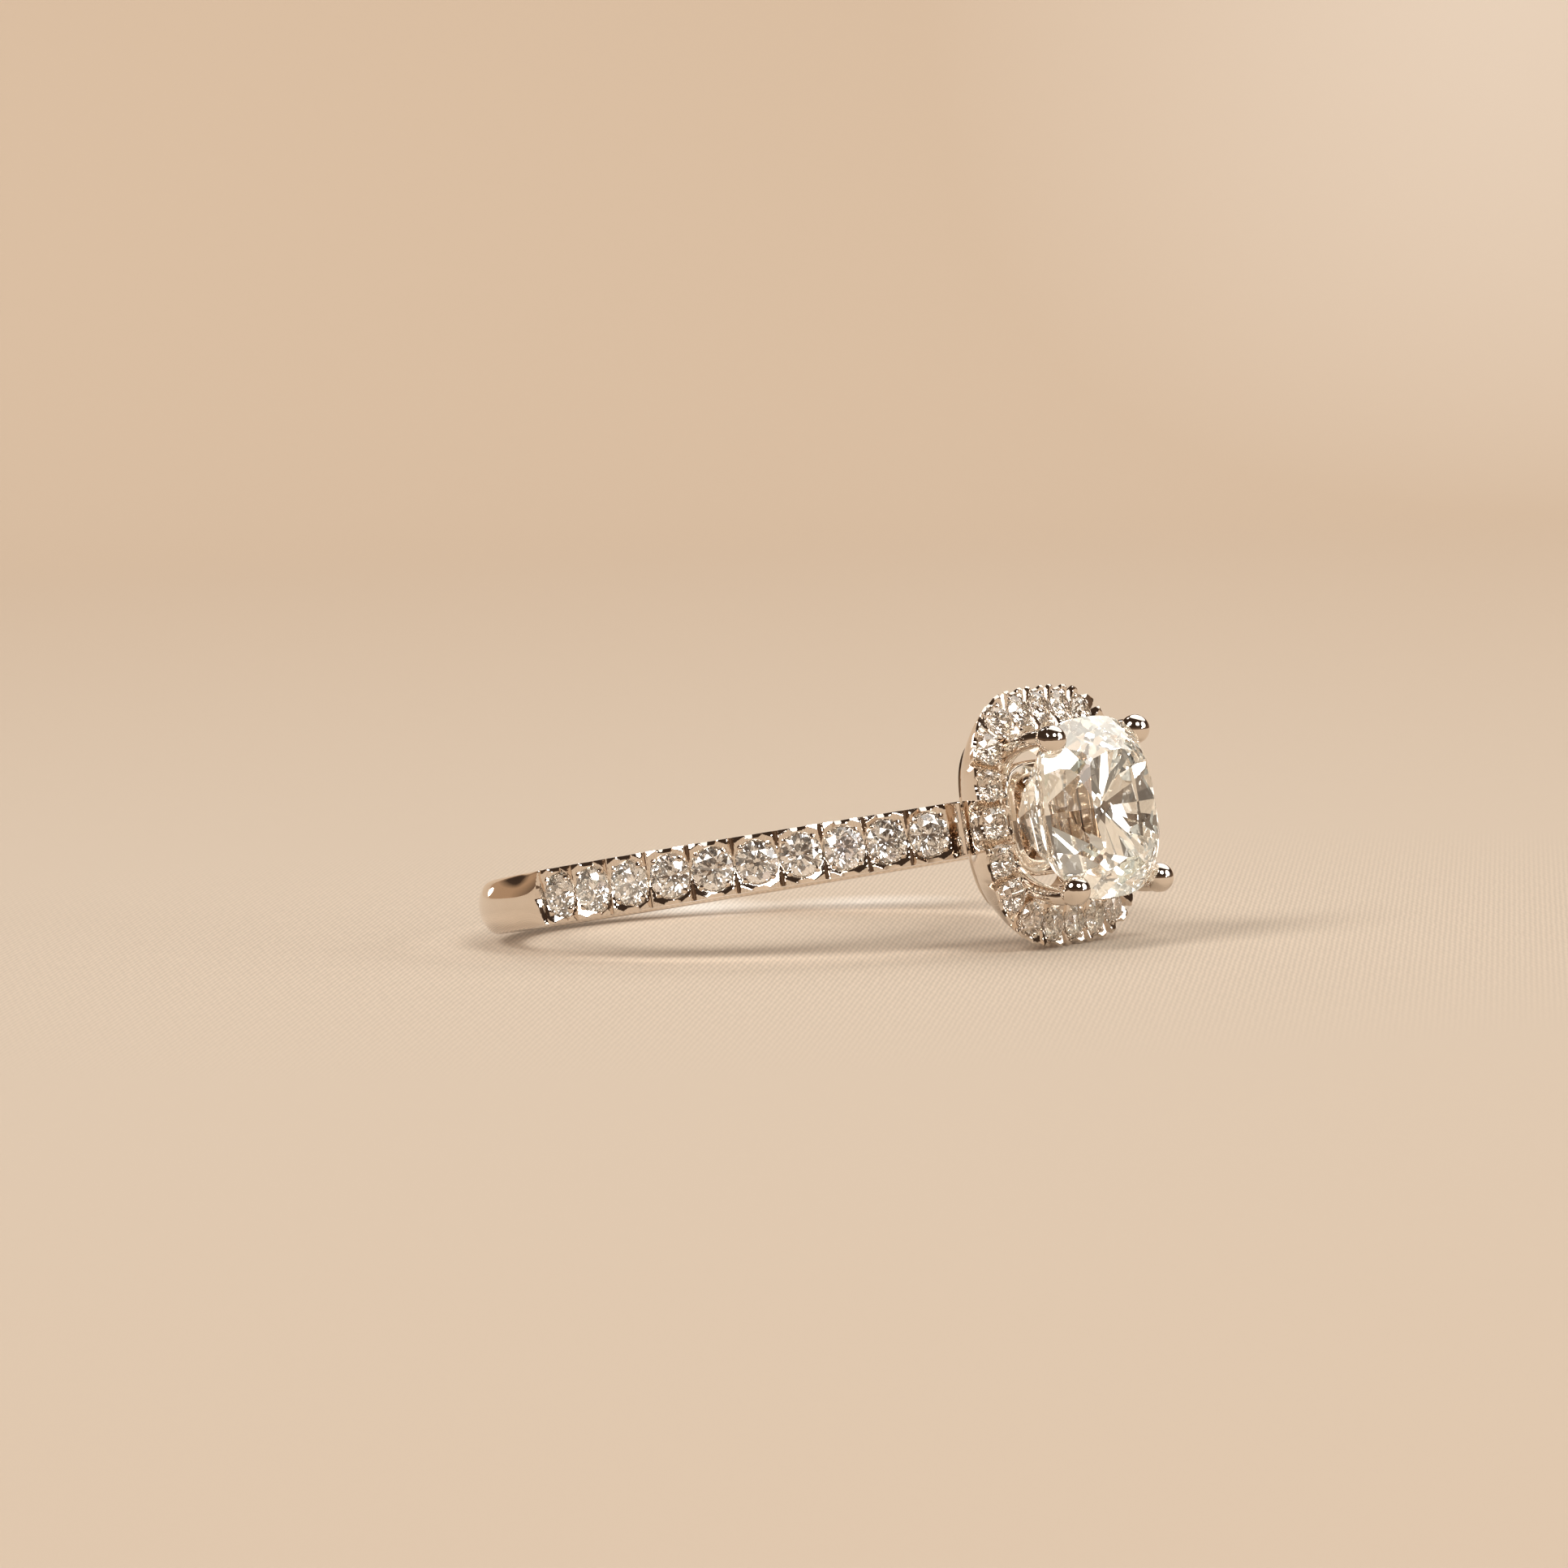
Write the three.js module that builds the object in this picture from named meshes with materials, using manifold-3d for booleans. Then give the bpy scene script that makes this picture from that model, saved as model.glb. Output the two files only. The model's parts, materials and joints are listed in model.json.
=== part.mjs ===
// A cushion halo engagement ring, in millimetres, +Z up, lying on its side as it rests on a table.
// The band, the head and every stone are pieces of their own, as on a jeweller's bench.
import * as THREE from 'three';
import { mergeVertices } from 'three/addons/utils/BufferGeometryUtils.js';
import Module from 'manifold-3d';

// Band. Its outline is a circle whose shoulders leave it as straight lines that rise to the head.
const fingerRadius = 8.25;
const bandThickness = 1.65;
const bandWidth = 1.86;
const bandEdgeRound = 0.1;
const backEdgeRound = 0.42;
const collarHalfSpan = 2.95;
const collarDrop = 0.35;

// Small round stones of the band and of the halo.
const bandStoneCount = 10;
const bandStoneRadius = 0.7;
const bandStoneGap = 0.12;
const collarToStone = 0.88;
const haloStoneCount = 20;
const haloStoneGap = 0.16;

// Proportions of a round stone, as shares of its radius, and how far its table stands proud.
const crownShare = 0.32;
const girdleShare = 0.06;
const pavilionShare = 0.86;
const tableShare = 0.57;
const tableLift = 0.06;

// Cuts that free the small stones: a saw groove between neighbours and a scallop at each open edge.
const grooveWidth = 0.26;
const grooveDepth = 0.34;
const scallopRadius = 0.36;
const scallopDepth = 0.2;
const scallopLean = Math.PI / 4;

// Centre stone, a cushion whose girdle stands well above the halo.
const centreHalfAcross = 3.1;
const centreHalfAlong = 3.04;
const centreRise = 1.73;
const centreCrown = 0.95;
const centreGirdle = 0.1;
const centrePavilion = 3.2;
const centreTableShare = 0.54;
const centreSquareness = 3.0;

// Halo: a dished cushion frame whose face leans outwards and whose wall tapers to the back.
const haloUnderlap = 0.13;
const haloBandWidth = 1.5;
const haloDepth = 1.72;
const haloRise = 0.5;
const haloFaceSlope = THREE.MathUtils.degToRad(12);
const haloBackShrink = 1.45;
const haloInnerShrink = 0.45;
const haloWallBow = 0.95;
const haloSquareness = 3.2;

// Claws, rail and base of the head.
const clawRadius = 0.34;
const beadRadius = 0.45;
const beadOffset = 0.17;
const beadLift = 0.25;
const clawWaistInset = 0.09;
const clawBulge = 0.12;
const clawBulgeDrop = 0.35;
const railRise = 0.7;
const railDepth = 0.45;
const railWidth = 0.55;
const baseHalf = 1.7;
const baseWidth = 0.7;
const baseDepth = 0.95;

// Fits.
const stoneClearance = 0.03;
const metalClearance = 0.03;
const backEdgeBite = 0.015;
const weldTolerance = 1e-4;
const overcut = 1;

// Fineness of the round shapes.
const bandSegments = 42;
const backEdgeSteps = 4;
const haloSegments = 48;
const haloSteps = 3;
const ringSegments = 32;
const centreSides = 40;
const smallStoneSides = 8;
const seatSides = 10;
const scallopSides = 6;
const clawSides = 5;
const clawSteps = 8;

// Places that follow from the sizes. Heights are measured from the middle of the finger hole.
const bandRadius = fingerRadius + bandThickness;
const bandStonePitch = 2 * bandStoneRadius + bandStoneGap;
const haloBackHeight = bandRadius + haloRise;
const haloFaceHeight = haloBackHeight + haloDepth;
const centreGirdleHeight = haloFaceHeight + centreRise;
const beadHeight = centreGirdleHeight + beadLift;
const railHeight = haloBackHeight + railRise;
const headSeat = haloBackHeight - metalClearance;
const baseBottom = headSeat - baseDepth;
const clawFoot = headSeat + metalClearance;
const haloInnerAcross = centreHalfAcross - haloUnderlap;
const haloInnerAlong = centreHalfAlong - haloUnderlap;
const haloHalfAcross = haloInnerAcross + haloBandWidth;
const haloHalfAlong = haloInnerAlong + haloBandWidth;

// The corner of a rounded square lies at this share of its half width, both ways.
const cornerShare = (squareness) => 2 ** (-1 / squareness);
const beadHalfAcross = centreHalfAcross * cornerShare(centreSquareness) + beadOffset;
const beadHalfAlong = centreHalfAlong * cornerShare(centreSquareness) + beadOffset;
const clawWaistAcross = haloInnerAcross * cornerShare(haloSquareness) - clawWaistInset;
const clawWaistAlong = haloInnerAlong * cornerShare(haloSquareness) - clawWaistInset;
const clawFootHalf = (baseHalf - baseWidth / 2) * cornerShare(haloSquareness);
const railShare = railRise / haloDepth;
const railHalfAcross = THREE.MathUtils.lerp(clawFootHalf, clawWaistAcross, railShare)
  / cornerShare(haloSquareness);
const railHalfAlong = THREE.MathUtils.lerp(clawFootHalf, clawWaistAlong, railShare)
  / cornerShare(haloSquareness);

// The shoulder is the tangent from the collar's foot to the band's circle.
const collarFoot = headSeat - collarDrop;
const collarReach = Math.hypot(collarFoot, collarHalfSpan);
const shoulderAngle = Math.atan2(collarHalfSpan, collarFoot) + Math.acos(bandRadius / collarReach);
const shoulderRun = Math.sqrt(collarReach ** 2 - bandRadius ** 2);
const bandFirstStone = collarToStone - shoulderRun;

const metal = { color: 0xe6ded4, roughness: 0.12, metalness: 1 };
const diamond = { color: 0xf7f4ee, roughness: 0.02, metalness: 0 };

const wasm = await Module();
wasm.setup();

function solidOf(geometry) {
  const bare = geometry.clone();
  bare.deleteAttribute('normal');
  bare.deleteAttribute('uv');
  const merged = mergeVertices(bare, weldTolerance);
  return new wasm.Manifold(new wasm.Mesh({
    numProp: 3,
    vertProperties: merged.attributes.position.array,
    triVerts: new Uint32Array(merged.index.array),
  }));
}

function geometryOf(solid) {
  const mesh = solid.getMesh();
  const geometry = new THREE.BufferGeometry();
  geometry.setAttribute('position', new THREE.BufferAttribute(mesh.vertProperties, 3));
  geometry.setIndex(new THREE.BufferAttribute(mesh.triVerts, 1));
  geometry.computeVertexNormals();
  return geometry;
}

function cutAll(solid, cutters) {
  return cutters.reduce((rest, cutter) => (
    rest.subtract(cutter.isBufferGeometry ? solidOf(cutter) : cutter)), solid);
}

// A cushion outline: a superellipse, walked at an even pace.
class CushionCurve extends THREE.Curve {
  constructor(halfAcross, halfAlong, squareness) {
    super();
    this.half = new THREE.Vector2(halfAcross, halfAlong);
    this.squareness = squareness;
    this.arcLengthDivisions = 1200;
  }

  getPoint(t, target = new THREE.Vector2()) {
    const angle = 2 * Math.PI * t;
    const cos = Math.cos(angle);
    const sin = Math.sin(angle);
    const radius = (Math.abs(cos) ** this.squareness + Math.abs(sin) ** this.squareness)
      ** (-1 / this.squareness);
    return target.set(this.half.x * radius * cos, this.half.y * radius * sin);
  }

  outline(segments) {
    return this.getSpacedPoints(segments).slice(0, segments);
  }
}

// How far out a point lies, from 0 at the middle to 1 on the outline.
function reach(x, y, halfAcross, halfAlong, squareness) {
  return (Math.abs(x / halfAcross) ** squareness + Math.abs(y / halfAlong) ** squareness)
    ** (1 / squareness);
}

// A rounded-square ring that starts at z = 0.
function cushionRing(halfAcross, halfAlong, width, depth) {
  const outer = new CushionCurve(halfAcross, halfAlong, haloSquareness);
  const inner = new CushionCurve(halfAcross - width, halfAlong - width, haloSquareness);
  const shape = new THREE.Shape(outer.outline(ringSegments));
  shape.holes.push(new THREE.Path(inner.outline(ringSegments)));
  return new THREE.ExtrudeGeometry(shape, { depth, bevelEnabled: false });
}

// Round stone with its girdle at z = 0 and its table up.
function roundStone(radius, sides) {
  const half = radius * girdleShare / 2;
  const profile = [
    new THREE.Vector2(0, -half - radius * pavilionShare),
    new THREE.Vector2(radius, -half),
    new THREE.Vector2(radius, half),
    new THREE.Vector2(radius * tableShare, half + radius * crownShare),
    new THREE.Vector2(0, half + radius * crownShare),
  ];
  return new THREE.LatheGeometry(profile, sides).rotateX(Math.PI / 2);
}

// The hole that a round stone drops into: its pavilion below, a straight bore above the girdle.
function stoneSeat(radius) {
  const wide = radius + stoneClearance;
  const half = radius * girdleShare / 2 + stoneClearance;
  const profile = [
    new THREE.Vector2(0, -half - radius * pavilionShare - stoneClearance),
    new THREE.Vector2(wide, -half),
    new THREE.Vector2(wide, overcut),
    new THREE.Vector2(0, overcut),
  ];
  return new THREE.LatheGeometry(profile, seatSides).rotateX(Math.PI / 2);
}

// A V groove along Y, its mouth at z = 0.
function sawGroove(length) {
  const mouth = grooveWidth / 2 * (1 + overcut / grooveDepth);
  const shape = new THREE.Shape();
  shape.moveTo(0, -grooveDepth);
  shape.lineTo(mouth, overcut);
  shape.lineTo(-mouth, overcut);
  const groove = new THREE.ExtrudeGeometry(shape, { depth: length, bevelEnabled: false });
  return groove.translate(0, 0, -length / 2).rotateX(Math.PI / 2);
}

// A round-bottomed notch beside a stone, sloping down and out through the edge at y = edge.
function scallop(edge, radius) {
  const length = 2 * radius;
  const cylinder = new THREE.CylinderGeometry(radius, radius, length, scallopSides);
  return cylinder.rotateX(-Math.sign(edge) * scallopLean).translate(0, edge, radius - scallopDepth);
}

function siteMatrix(origin, along, normal) {
  const across = new THREE.Vector3().crossVectors(normal, along);
  return new THREE.Matrix4().makeBasis(along, across, normal).setPosition(origin);
}

// A place on the band's outer face. Its travel is 0 where the shoulder leaves the circle.
function bandSite(side, travel, sink) {
  const angle = shoulderAngle + Math.max(travel, 0) / bandRadius;
  const straight = Math.min(travel, 0);
  const normal = new THREE.Vector3(Math.cos(angle), side * Math.sin(angle), 0);
  const along = new THREE.Vector3(-side * Math.sin(angle), Math.cos(angle), 0);
  const origin = normal.clone().multiplyScalar(bandRadius - sink);
  origin.addScaledVector(along, side * straight);
  return siteMatrix(origin, along, normal);
}

// A place on the middle line of the halo's face, at a share of the way round.
const haloLine = new CushionCurve(
  haloHalfAcross - haloBandWidth / 2,
  haloHalfAlong - haloBandWidth / 2,
  haloSquareness,
);
const haloStoneRadius = haloLine.getLength() / haloStoneCount / 2 - haloStoneGap / 2;

function haloSite(share, sink) {
  const at = haloLine.getPointAt(share % 1);
  const direction = haloLine.getTangentAt(share % 1);
  const along = new THREE.Vector3(direction.x, direction.y, 0);
  const outward = new THREE.Vector3(direction.y, -direction.x, 0);
  const normal = new THREE.Vector3(0, 0, Math.cos(haloFaceSlope));
  normal.addScaledVector(outward, Math.sin(haloFaceSlope));
  const middleRise = haloBandWidth / 2 * Math.tan(haloFaceSlope);
  const origin = new THREE.Vector3(at.x, at.y, haloFaceHeight + middleRise);
  return siteMatrix(origin.addScaledVector(normal, -sink), along, normal);
}

// Stones sit with the table a little above the metal.
function stoneSink(radius) {
  return radius * (crownShare + girdleShare / 2) - tableLift;
}

const bandStoneTravels = Array.from(
  { length: bandStoneCount },
  (_, i) => bandFirstStone + i * bandStonePitch,
);
const haloShares = Array.from({ length: haloStoneCount }, (_, i) => i / haloStoneCount);
const sides = [1, -1];

// What is taken off one outer edge of the plain back of the band to leave it softly rounded.
function backEdgeCutter(edge) {
  const inset = backEdgeRound + backEdgeBite;
  const middle = new THREE.Vector2(bandRadius - inset, bandWidth / 2 - inset);
  const profile = [new THREE.Vector2(bandRadius + overcut, bandWidth / 2 + overcut)];
  profile.push(new THREE.Vector2(middle.x, bandWidth / 2 + overcut));
  for (let i = 0; i <= backEdgeSteps; i += 1) {
    const turn = Math.PI / 2 * (1 - i / backEdgeSteps);
    const point = new THREE.Vector2(Math.cos(turn), Math.sin(turn)).multiplyScalar(backEdgeRound);
    profile.push(point.add(middle));
  }
  profile.push(new THREE.Vector2(bandRadius + overcut, middle.y));
  profile.push(profile[0].clone());
  const corner = new THREE.LatheGeometry(profile, 2 * bandSegments);
  corner.rotateX(edge * Math.PI / 2);
  const paveEnd = shoulderAngle + (bandFirstStone + (bandStoneCount - 0.5) * bandStonePitch) / bandRadius;
  const back = new THREE.BoxGeometry(4 * bandRadius, 4 * bandRadius, 4 * bandWidth);
  back.translate(bandRadius * Math.cos(paveEnd) - 2 * bandRadius, 0, 0);
  return solidOf(corner).intersect(solidOf(back));
}

function bandSolid() {
  const shape = new THREE.Shape();
  shape.moveTo(headSeat, -collarHalfSpan);
  shape.lineTo(headSeat, collarHalfSpan);
  shape.lineTo(collarFoot, collarHalfSpan);
  shape.absarc(0, 0, bandRadius, shoulderAngle, 2 * Math.PI - shoulderAngle, false);
  shape.lineTo(collarFoot, -collarHalfSpan);
  const hole = new THREE.Path();
  hole.absarc(0, 0, fingerRadius, 0, 2 * Math.PI, true);
  shape.holes.push(hole);
  const body = new THREE.ExtrudeGeometry(shape, {
    depth: bandWidth - 2 * bandEdgeRound,
    curveSegments: bandSegments,
    bevelSize: bandEdgeRound,
    bevelThickness: bandEdgeRound,
    bevelOffset: -bandEdgeRound,
    bevelSegments: 1,
  });
  body.translate(0, 0, bandEdgeRound - bandWidth / 2);

  const sink = stoneSink(bandStoneRadius);
  const cutters = [];
  for (const side of sides) {
    for (const travel of bandStoneTravels) {
      cutters.push(stoneSeat(bandStoneRadius).applyMatrix4(bandSite(side, travel, sink)));
      for (const edge of sides) {
        const notch = scallop(edge * bandWidth / 2, scallopRadius);
        cutters.push(notch.applyMatrix4(bandSite(side, travel, 0)));
      }
    }
    for (let i = 0; i <= bandStoneCount; i += 1) {
      const travel = bandFirstStone + (i - 0.5) * bandStonePitch;
      cutters.push(sawGroove(2 * bandWidth).applyMatrix4(bandSite(side, travel, 0)));
    }
  }
  for (const edge of sides) cutters.push(backEdgeCutter(edge));
  const pocketHalf = baseHalf + metalClearance;
  const pocketDepth = baseDepth + metalClearance;
  const pocket = new THREE.BoxGeometry(2 * pocketDepth, 2 * pocketHalf, 2 * bandWidth);
  cutters.push(pocket.translate(headSeat, 0, 0));
  return cutAll(solidOf(body), cutters);
}

// The dished halo blank, before its seats are cut.
function haloBlank() {
  const outer = new CushionCurve(haloHalfAcross, haloHalfAlong, haloSquareness);
  const inner = new CushionCurve(haloInnerAcross, haloInnerAlong, haloSquareness);
  const shape = new THREE.Shape(outer.outline(haloSegments));
  shape.holes.push(new THREE.Path(inner.outline(haloSegments)));
  const blank = new THREE.ExtrudeGeometry(shape, {
    depth: haloDepth,
    steps: haloSteps,
    bevelEnabled: false,
  });
  const place = blank.attributes.position;
  const between = 1 - haloBandWidth / 2 / haloHalfAcross;
  for (let i = 0; i < place.count; i += 1) {
    const x = place.getX(i);
    const y = place.getY(i);
    const share = place.getZ(i) / haloDepth;
    const isOuter = reach(x, y, haloHalfAcross, haloHalfAlong, haloSquareness) > between;
    const shrink = isOuter
      ? haloBackShrink * (1 - share ** haloWallBow)
      : haloInnerShrink * (1 - share);
    const scaleX = 1 - shrink / (isOuter ? haloHalfAcross : haloInnerAcross);
    const scaleY = 1 - shrink / (isOuter ? haloHalfAlong : haloInnerAlong);
    const lift = isOuter ? 0 : share * haloBandWidth * Math.tan(haloFaceSlope);
    place.setXYZ(i, x * scaleX, y * scaleY, haloBackHeight + place.getZ(i) + lift);
  }
  return solidOf(blank);
}

function haloSolid() {
  const sink = stoneSink(haloStoneRadius);
  const halfStep = 0.5 / haloStoneCount;
  const cutters = [];
  for (const share of haloShares) {
    cutters.push(stoneSeat(haloStoneRadius).applyMatrix4(haloSite(share, sink)));
    cutters.push(sawGroove(2 * haloBandWidth).applyMatrix4(haloSite(share + halfStep, 0)));
    for (const edge of sides) {
      const notch = scallop(edge * haloBandWidth / 2, scallopRadius);
      cutters.push(notch.applyMatrix4(haloSite(share, 0)));
    }
  }
  for (const corner of corners) cutters.push(clawShaft(corner, metalClearance));
  return cutAll(haloBlank(), cutters);
}

// The cushion stone, grown by a clearance when it is used as a cutter.
function centreStone(grow) {
  const half = centreGirdle / 2 + grow;
  const profile = [
    new THREE.Vector2(0, -half - centrePavilion),
    new THREE.Vector2(1, -half),
    new THREE.Vector2(1, half),
    new THREE.Vector2(centreTableShare, half + centreCrown),
    new THREE.Vector2(0, half + centreCrown),
  ];
  const stone = new THREE.LatheGeometry(profile, centreSides).rotateX(Math.PI / 2);
  const place = stone.attributes.position;
  for (let i = 0; i < place.count; i += 1) {
    const x = place.getX(i);
    const y = place.getY(i);
    const radius = Math.hypot(x, y);
    if (radius > 0) {
      const square = radius / reach(x, y, 1, 1, centreSquareness);
      place.setX(i, x * square * (centreHalfAcross + grow));
      place.setY(i, y * square * (centreHalfAlong + grow));
    }
  }
  return stone.translate(0, 0, centreGirdleHeight);
}

const corners = [
  { name: 'claw_upper_left', across: 1, along: 1 },
  { name: 'claw_upper_right', across: -1, along: 1 },
  { name: 'claw_lower_left', across: 1, along: -1 },
  { name: 'claw_lower_right', across: -1, along: -1 },
];

// The shaft of one claw, from the head's base, past the halo, to the bead over the stone's corner.
function clawShaft(corner, grow) {
  const stops = [
    [clawFootHalf, clawFootHalf, clawFoot],
    [clawWaistAcross, clawWaistAlong, haloFaceHeight],
    [beadHalfAcross + clawBulge, beadHalfAlong + clawBulge, centreGirdleHeight - clawBulgeDrop],
    [beadHalfAcross, beadHalfAlong, beadHeight],
  ];
  const points = stops.map(([x, y, z]) => (
    new THREE.Vector3(corner.across * x, corner.along * y, z)));
  const section = new THREE.Shape();
  section.absarc(0, 0, clawRadius + grow, 0, 2 * Math.PI, false);
  return new THREE.ExtrudeGeometry(section, {
    curveSegments: clawSides,
    steps: clawSteps,
    extrudePath: new THREE.CatmullRomCurve3(points),
  });
}

function clawSolid(corner) {
  const bead = new THREE.SphereGeometry(beadRadius, 12, 8);
  bead.translate(corner.across * beadHalfAcross, corner.along * beadHalfAlong, beadHeight);
  const floor = new THREE.BoxGeometry(2 * haloHalfAcross, 2 * haloHalfAlong, 2 * overcut);
  floor.translate(0, 0, clawFoot - overcut);
  const whole = solidOf(clawShaft(corner, 0)).add(solidOf(bead));
  return cutAll(whole, [centreStone(stoneClearance), floor]);
}

function railSolid() {
  const rail = cushionRing(railHalfAcross, railHalfAlong, railWidth, railDepth).translate(0, 0, railHeight);
  return cutAll(solidOf(rail), corners.map((corner) => clawShaft(corner, metalClearance)));
}

function baseSolid() {
  return solidOf(cushionRing(baseHalf, baseHalf, baseWidth, baseDepth).translate(0, 0, baseBottom));
}

function addPiece(group, name, geometry, look) {
  const mesh = new THREE.Mesh(geometry, new THREE.MeshStandardMaterial(look));
  mesh.name = name;
  group.add(mesh);
  return mesh;
}

function addStone(group, name, radius, matrix) {
  const stone = addPiece(group, name, roundStone(radius, smallStoneSides), diamond);
  stone.applyMatrix4(matrix);
}

// The head's own frame has X across the band, Y along the finger and Z out of the finger.
function buildHead() {
  const head = new THREE.Group();
  addPiece(head, 'halo_frame', geometryOf(haloSolid()), metal);
  addPiece(head, 'gallery_rail', geometryOf(railSolid()), metal);
  addPiece(head, 'head_base', geometryOf(baseSolid()), metal);
  for (const corner of corners) {
    addPiece(head, corner.name, geometryOf(clawSolid(corner)), metal);
  }
  addPiece(head, 'centre_diamond', centreStone(0), diamond);
  const sink = stoneSink(haloStoneRadius);
  haloShares.forEach((share, i) => {
    const name = `halo_diamond_${String(i + 1).padStart(2, '0')}`;
    addStone(head, name, haloStoneRadius, haloSite(share, sink));
  });
  const frame = new THREE.Matrix4().makeBasis(
    new THREE.Vector3(0, 1, 0),
    new THREE.Vector3(0, 0, 1),
    new THREE.Vector3(1, 0, 0),
  );
  head.applyMatrix4(frame);
  return head;
}

function buildRing() {
  const ring = new THREE.Group();
  addPiece(ring, 'shank', geometryOf(bandSolid()), metal);
  const sink = stoneSink(bandStoneRadius);
  for (const side of sides) {
    bandStoneTravels.forEach((travel, i) => {
      const name = `shank_diamond_${side > 0 ? 'left' : 'right'}_${String(i + 1).padStart(2, '0')}`;
      addStone(ring, name, bandStoneRadius, bandSite(side, travel, sink));
    });
  }
  ring.add(buildHead());
  return ring;
}

// The ring lies on the edge of its band and the edge of its halo.
const ring = buildRing();
const reachU = haloFaceHeight + bandRadius - backEdgeRound;
const reachW = haloHalfAlong - bandWidth / 2 + backEdgeRound;
const restTilt = Math.acos(backEdgeRound / Math.hypot(reachU, reachW)) - Math.atan2(reachU, reachW);
ring.rotation.y = -restTilt;
ring.updateMatrixWorld(true);
const box = new THREE.Box3().setFromObject(ring, true);
ring.position.set(-(box.min.x + box.max.x) / 2, -(box.min.y + box.max.y) / 2, -box.min.z);

const part = new THREE.Group();
part.add(ring);
export default part;
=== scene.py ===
import json
import math

import bmesh
import bpy
import numpy as np
from mathutils import Matrix, Vector


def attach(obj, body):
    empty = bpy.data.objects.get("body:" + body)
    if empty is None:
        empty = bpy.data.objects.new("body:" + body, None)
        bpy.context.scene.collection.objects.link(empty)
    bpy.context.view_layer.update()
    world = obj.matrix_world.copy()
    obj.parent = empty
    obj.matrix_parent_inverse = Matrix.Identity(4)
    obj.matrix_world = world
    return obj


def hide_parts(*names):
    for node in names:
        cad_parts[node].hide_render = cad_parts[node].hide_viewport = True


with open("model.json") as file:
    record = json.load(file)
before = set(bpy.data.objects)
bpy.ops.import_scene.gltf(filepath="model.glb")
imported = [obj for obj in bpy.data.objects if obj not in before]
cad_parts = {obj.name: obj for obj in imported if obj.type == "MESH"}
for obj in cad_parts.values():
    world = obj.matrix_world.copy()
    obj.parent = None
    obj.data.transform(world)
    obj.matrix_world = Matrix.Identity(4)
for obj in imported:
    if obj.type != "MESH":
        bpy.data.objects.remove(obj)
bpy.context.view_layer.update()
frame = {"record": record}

mm = 0.001

# The ring's own sizes in millimetres, the same as the CAD part's.
ring = {
    "fingerRadius": 8.25,
    "bandThickness": 1.65,
    "bandWidth": 1.86,
    "headSeat": 10.37,
    "collarHalfSpan": 2.95,
    "collarDrop": 0.35,
    "mountRadius": 8.9,
    "mountAngle": math.radians(172),
}
ring["bandRadius"] = ring["fingerRadius"] + ring["bandThickness"]
ring["halfWidth"] = ring["bandWidth"] / 2
ring["collarFoot"] = ring["headSeat"] - ring["collarDrop"]


def ringPlaces():
    # The two side faces named in the record give the finger axis and the middle of the finger hole.
    mounts = {mount["name"]: Vector(mount["pos_m"]) for mount in frame["record"]["mounts"]}
    upper, lower = mounts["band_side_upper"], mounts["band_side_lower"]
    fingerAxis = (upper - lower).normalized()
    across = Vector((0, 1, 0))
    towardsHead = across.cross(fingerAxis)
    radius, angle = ring["mountRadius"] * mm, ring["mountAngle"]
    middle = (upper + lower) / 2
    hole = middle - towardsHead * (radius * math.cos(angle)) - across * (radius * math.sin(angle))

    def placeOf(x, y, z):
        basis = Matrix((x * mm, y * mm, z * mm)).transposed().to_4x4()
        return Matrix.Translation(hole) @ basis

    return placeOf(towardsHead, across, fingerAxis), placeOf(across, fingerAxis, towardsHead), hole


# The band's frame has X to the head, Y across and Z along the finger. The head's has X across, Y along
# the finger and Z up through the stone.
bandPlace, headPlace, holeMiddle = ringPlaces()


class Wire:
    # One output socket of a node tree, so that shader maths reads as plain expressions.
    def __init__(self, tree, socket=None):
        self.tree = tree
        self.socket = socket

    def node(self, kind, settings=None, inputs=None, output=0):
        made = self.tree.nodes.new(kind)
        for key, value in (settings or {}).items():
            if key == "stops":
                fillRamp(made.color_ramp, value)
            elif key == "steps":
                made.color_ramp.interpolation = value
            else:
                setattr(made, key, value)
        for key, value in (inputs or {}).items():
            if isinstance(value, Wire):
                self.tree.links.new(value.socket, made.inputs[key])
            else:
                made.inputs[key].default_value = value
        return Wire(self.tree, made.outputs[output] if len(made.outputs) else None)

    def math(self, operation, first, second=0.0):
        return self.node("ShaderNodeMath", {"operation": operation}, {0: first, 1: second})

    def __add__(self, other):
        return self.math("ADD", self, other)

    __radd__ = __add__

    def __sub__(self, other):
        return self.math("SUBTRACT", self, other)

    def __rsub__(self, other):
        return self.math("SUBTRACT", other, self)

    def __mul__(self, other):
        return self.math("MULTIPLY", self, other)

    __rmul__ = __mul__

    def clamped(self):
        return self.node("ShaderNodeClamp", {}, {"Value": self})

    def absolute(self):
        return self.math("ABSOLUTE", self)

    def ramp(self, stops, steps="LINEAR"):
        return self.node("ShaderNodeValToRGB", {"stops": stops, "steps": steps}, {"Fac": self})

    def mix(self, first, second):
        # This value blends from the first colour to the second.
        return self.node("ShaderNodeMix", {"data_type": "RGBA"}, {0: self, 6: first, 7: second}, output=2)


def fillRamp(ramp, stops):
    while len(ramp.elements) > 1:
        ramp.elements.remove(ramp.elements[-1])
    ramp.elements[0].position = stops[0][0]
    ramp.elements[0].color = stops[0][1]
    for position, colour in stops[1:]:
        ramp.elements.new(position).color = colour


def newMaterial(name):
    material = bpy.data.materials.new(name)
    material.use_nodes = True
    tree = material.node_tree
    tree.nodes.clear()
    return material, Wire(tree)


def output(wire, shader):
    wire.node("ShaderNodeOutputMaterial", {}, {"Surface": shader})


def rgb(red, green, blue):
    return (red, green, blue, 1.0)


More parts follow.
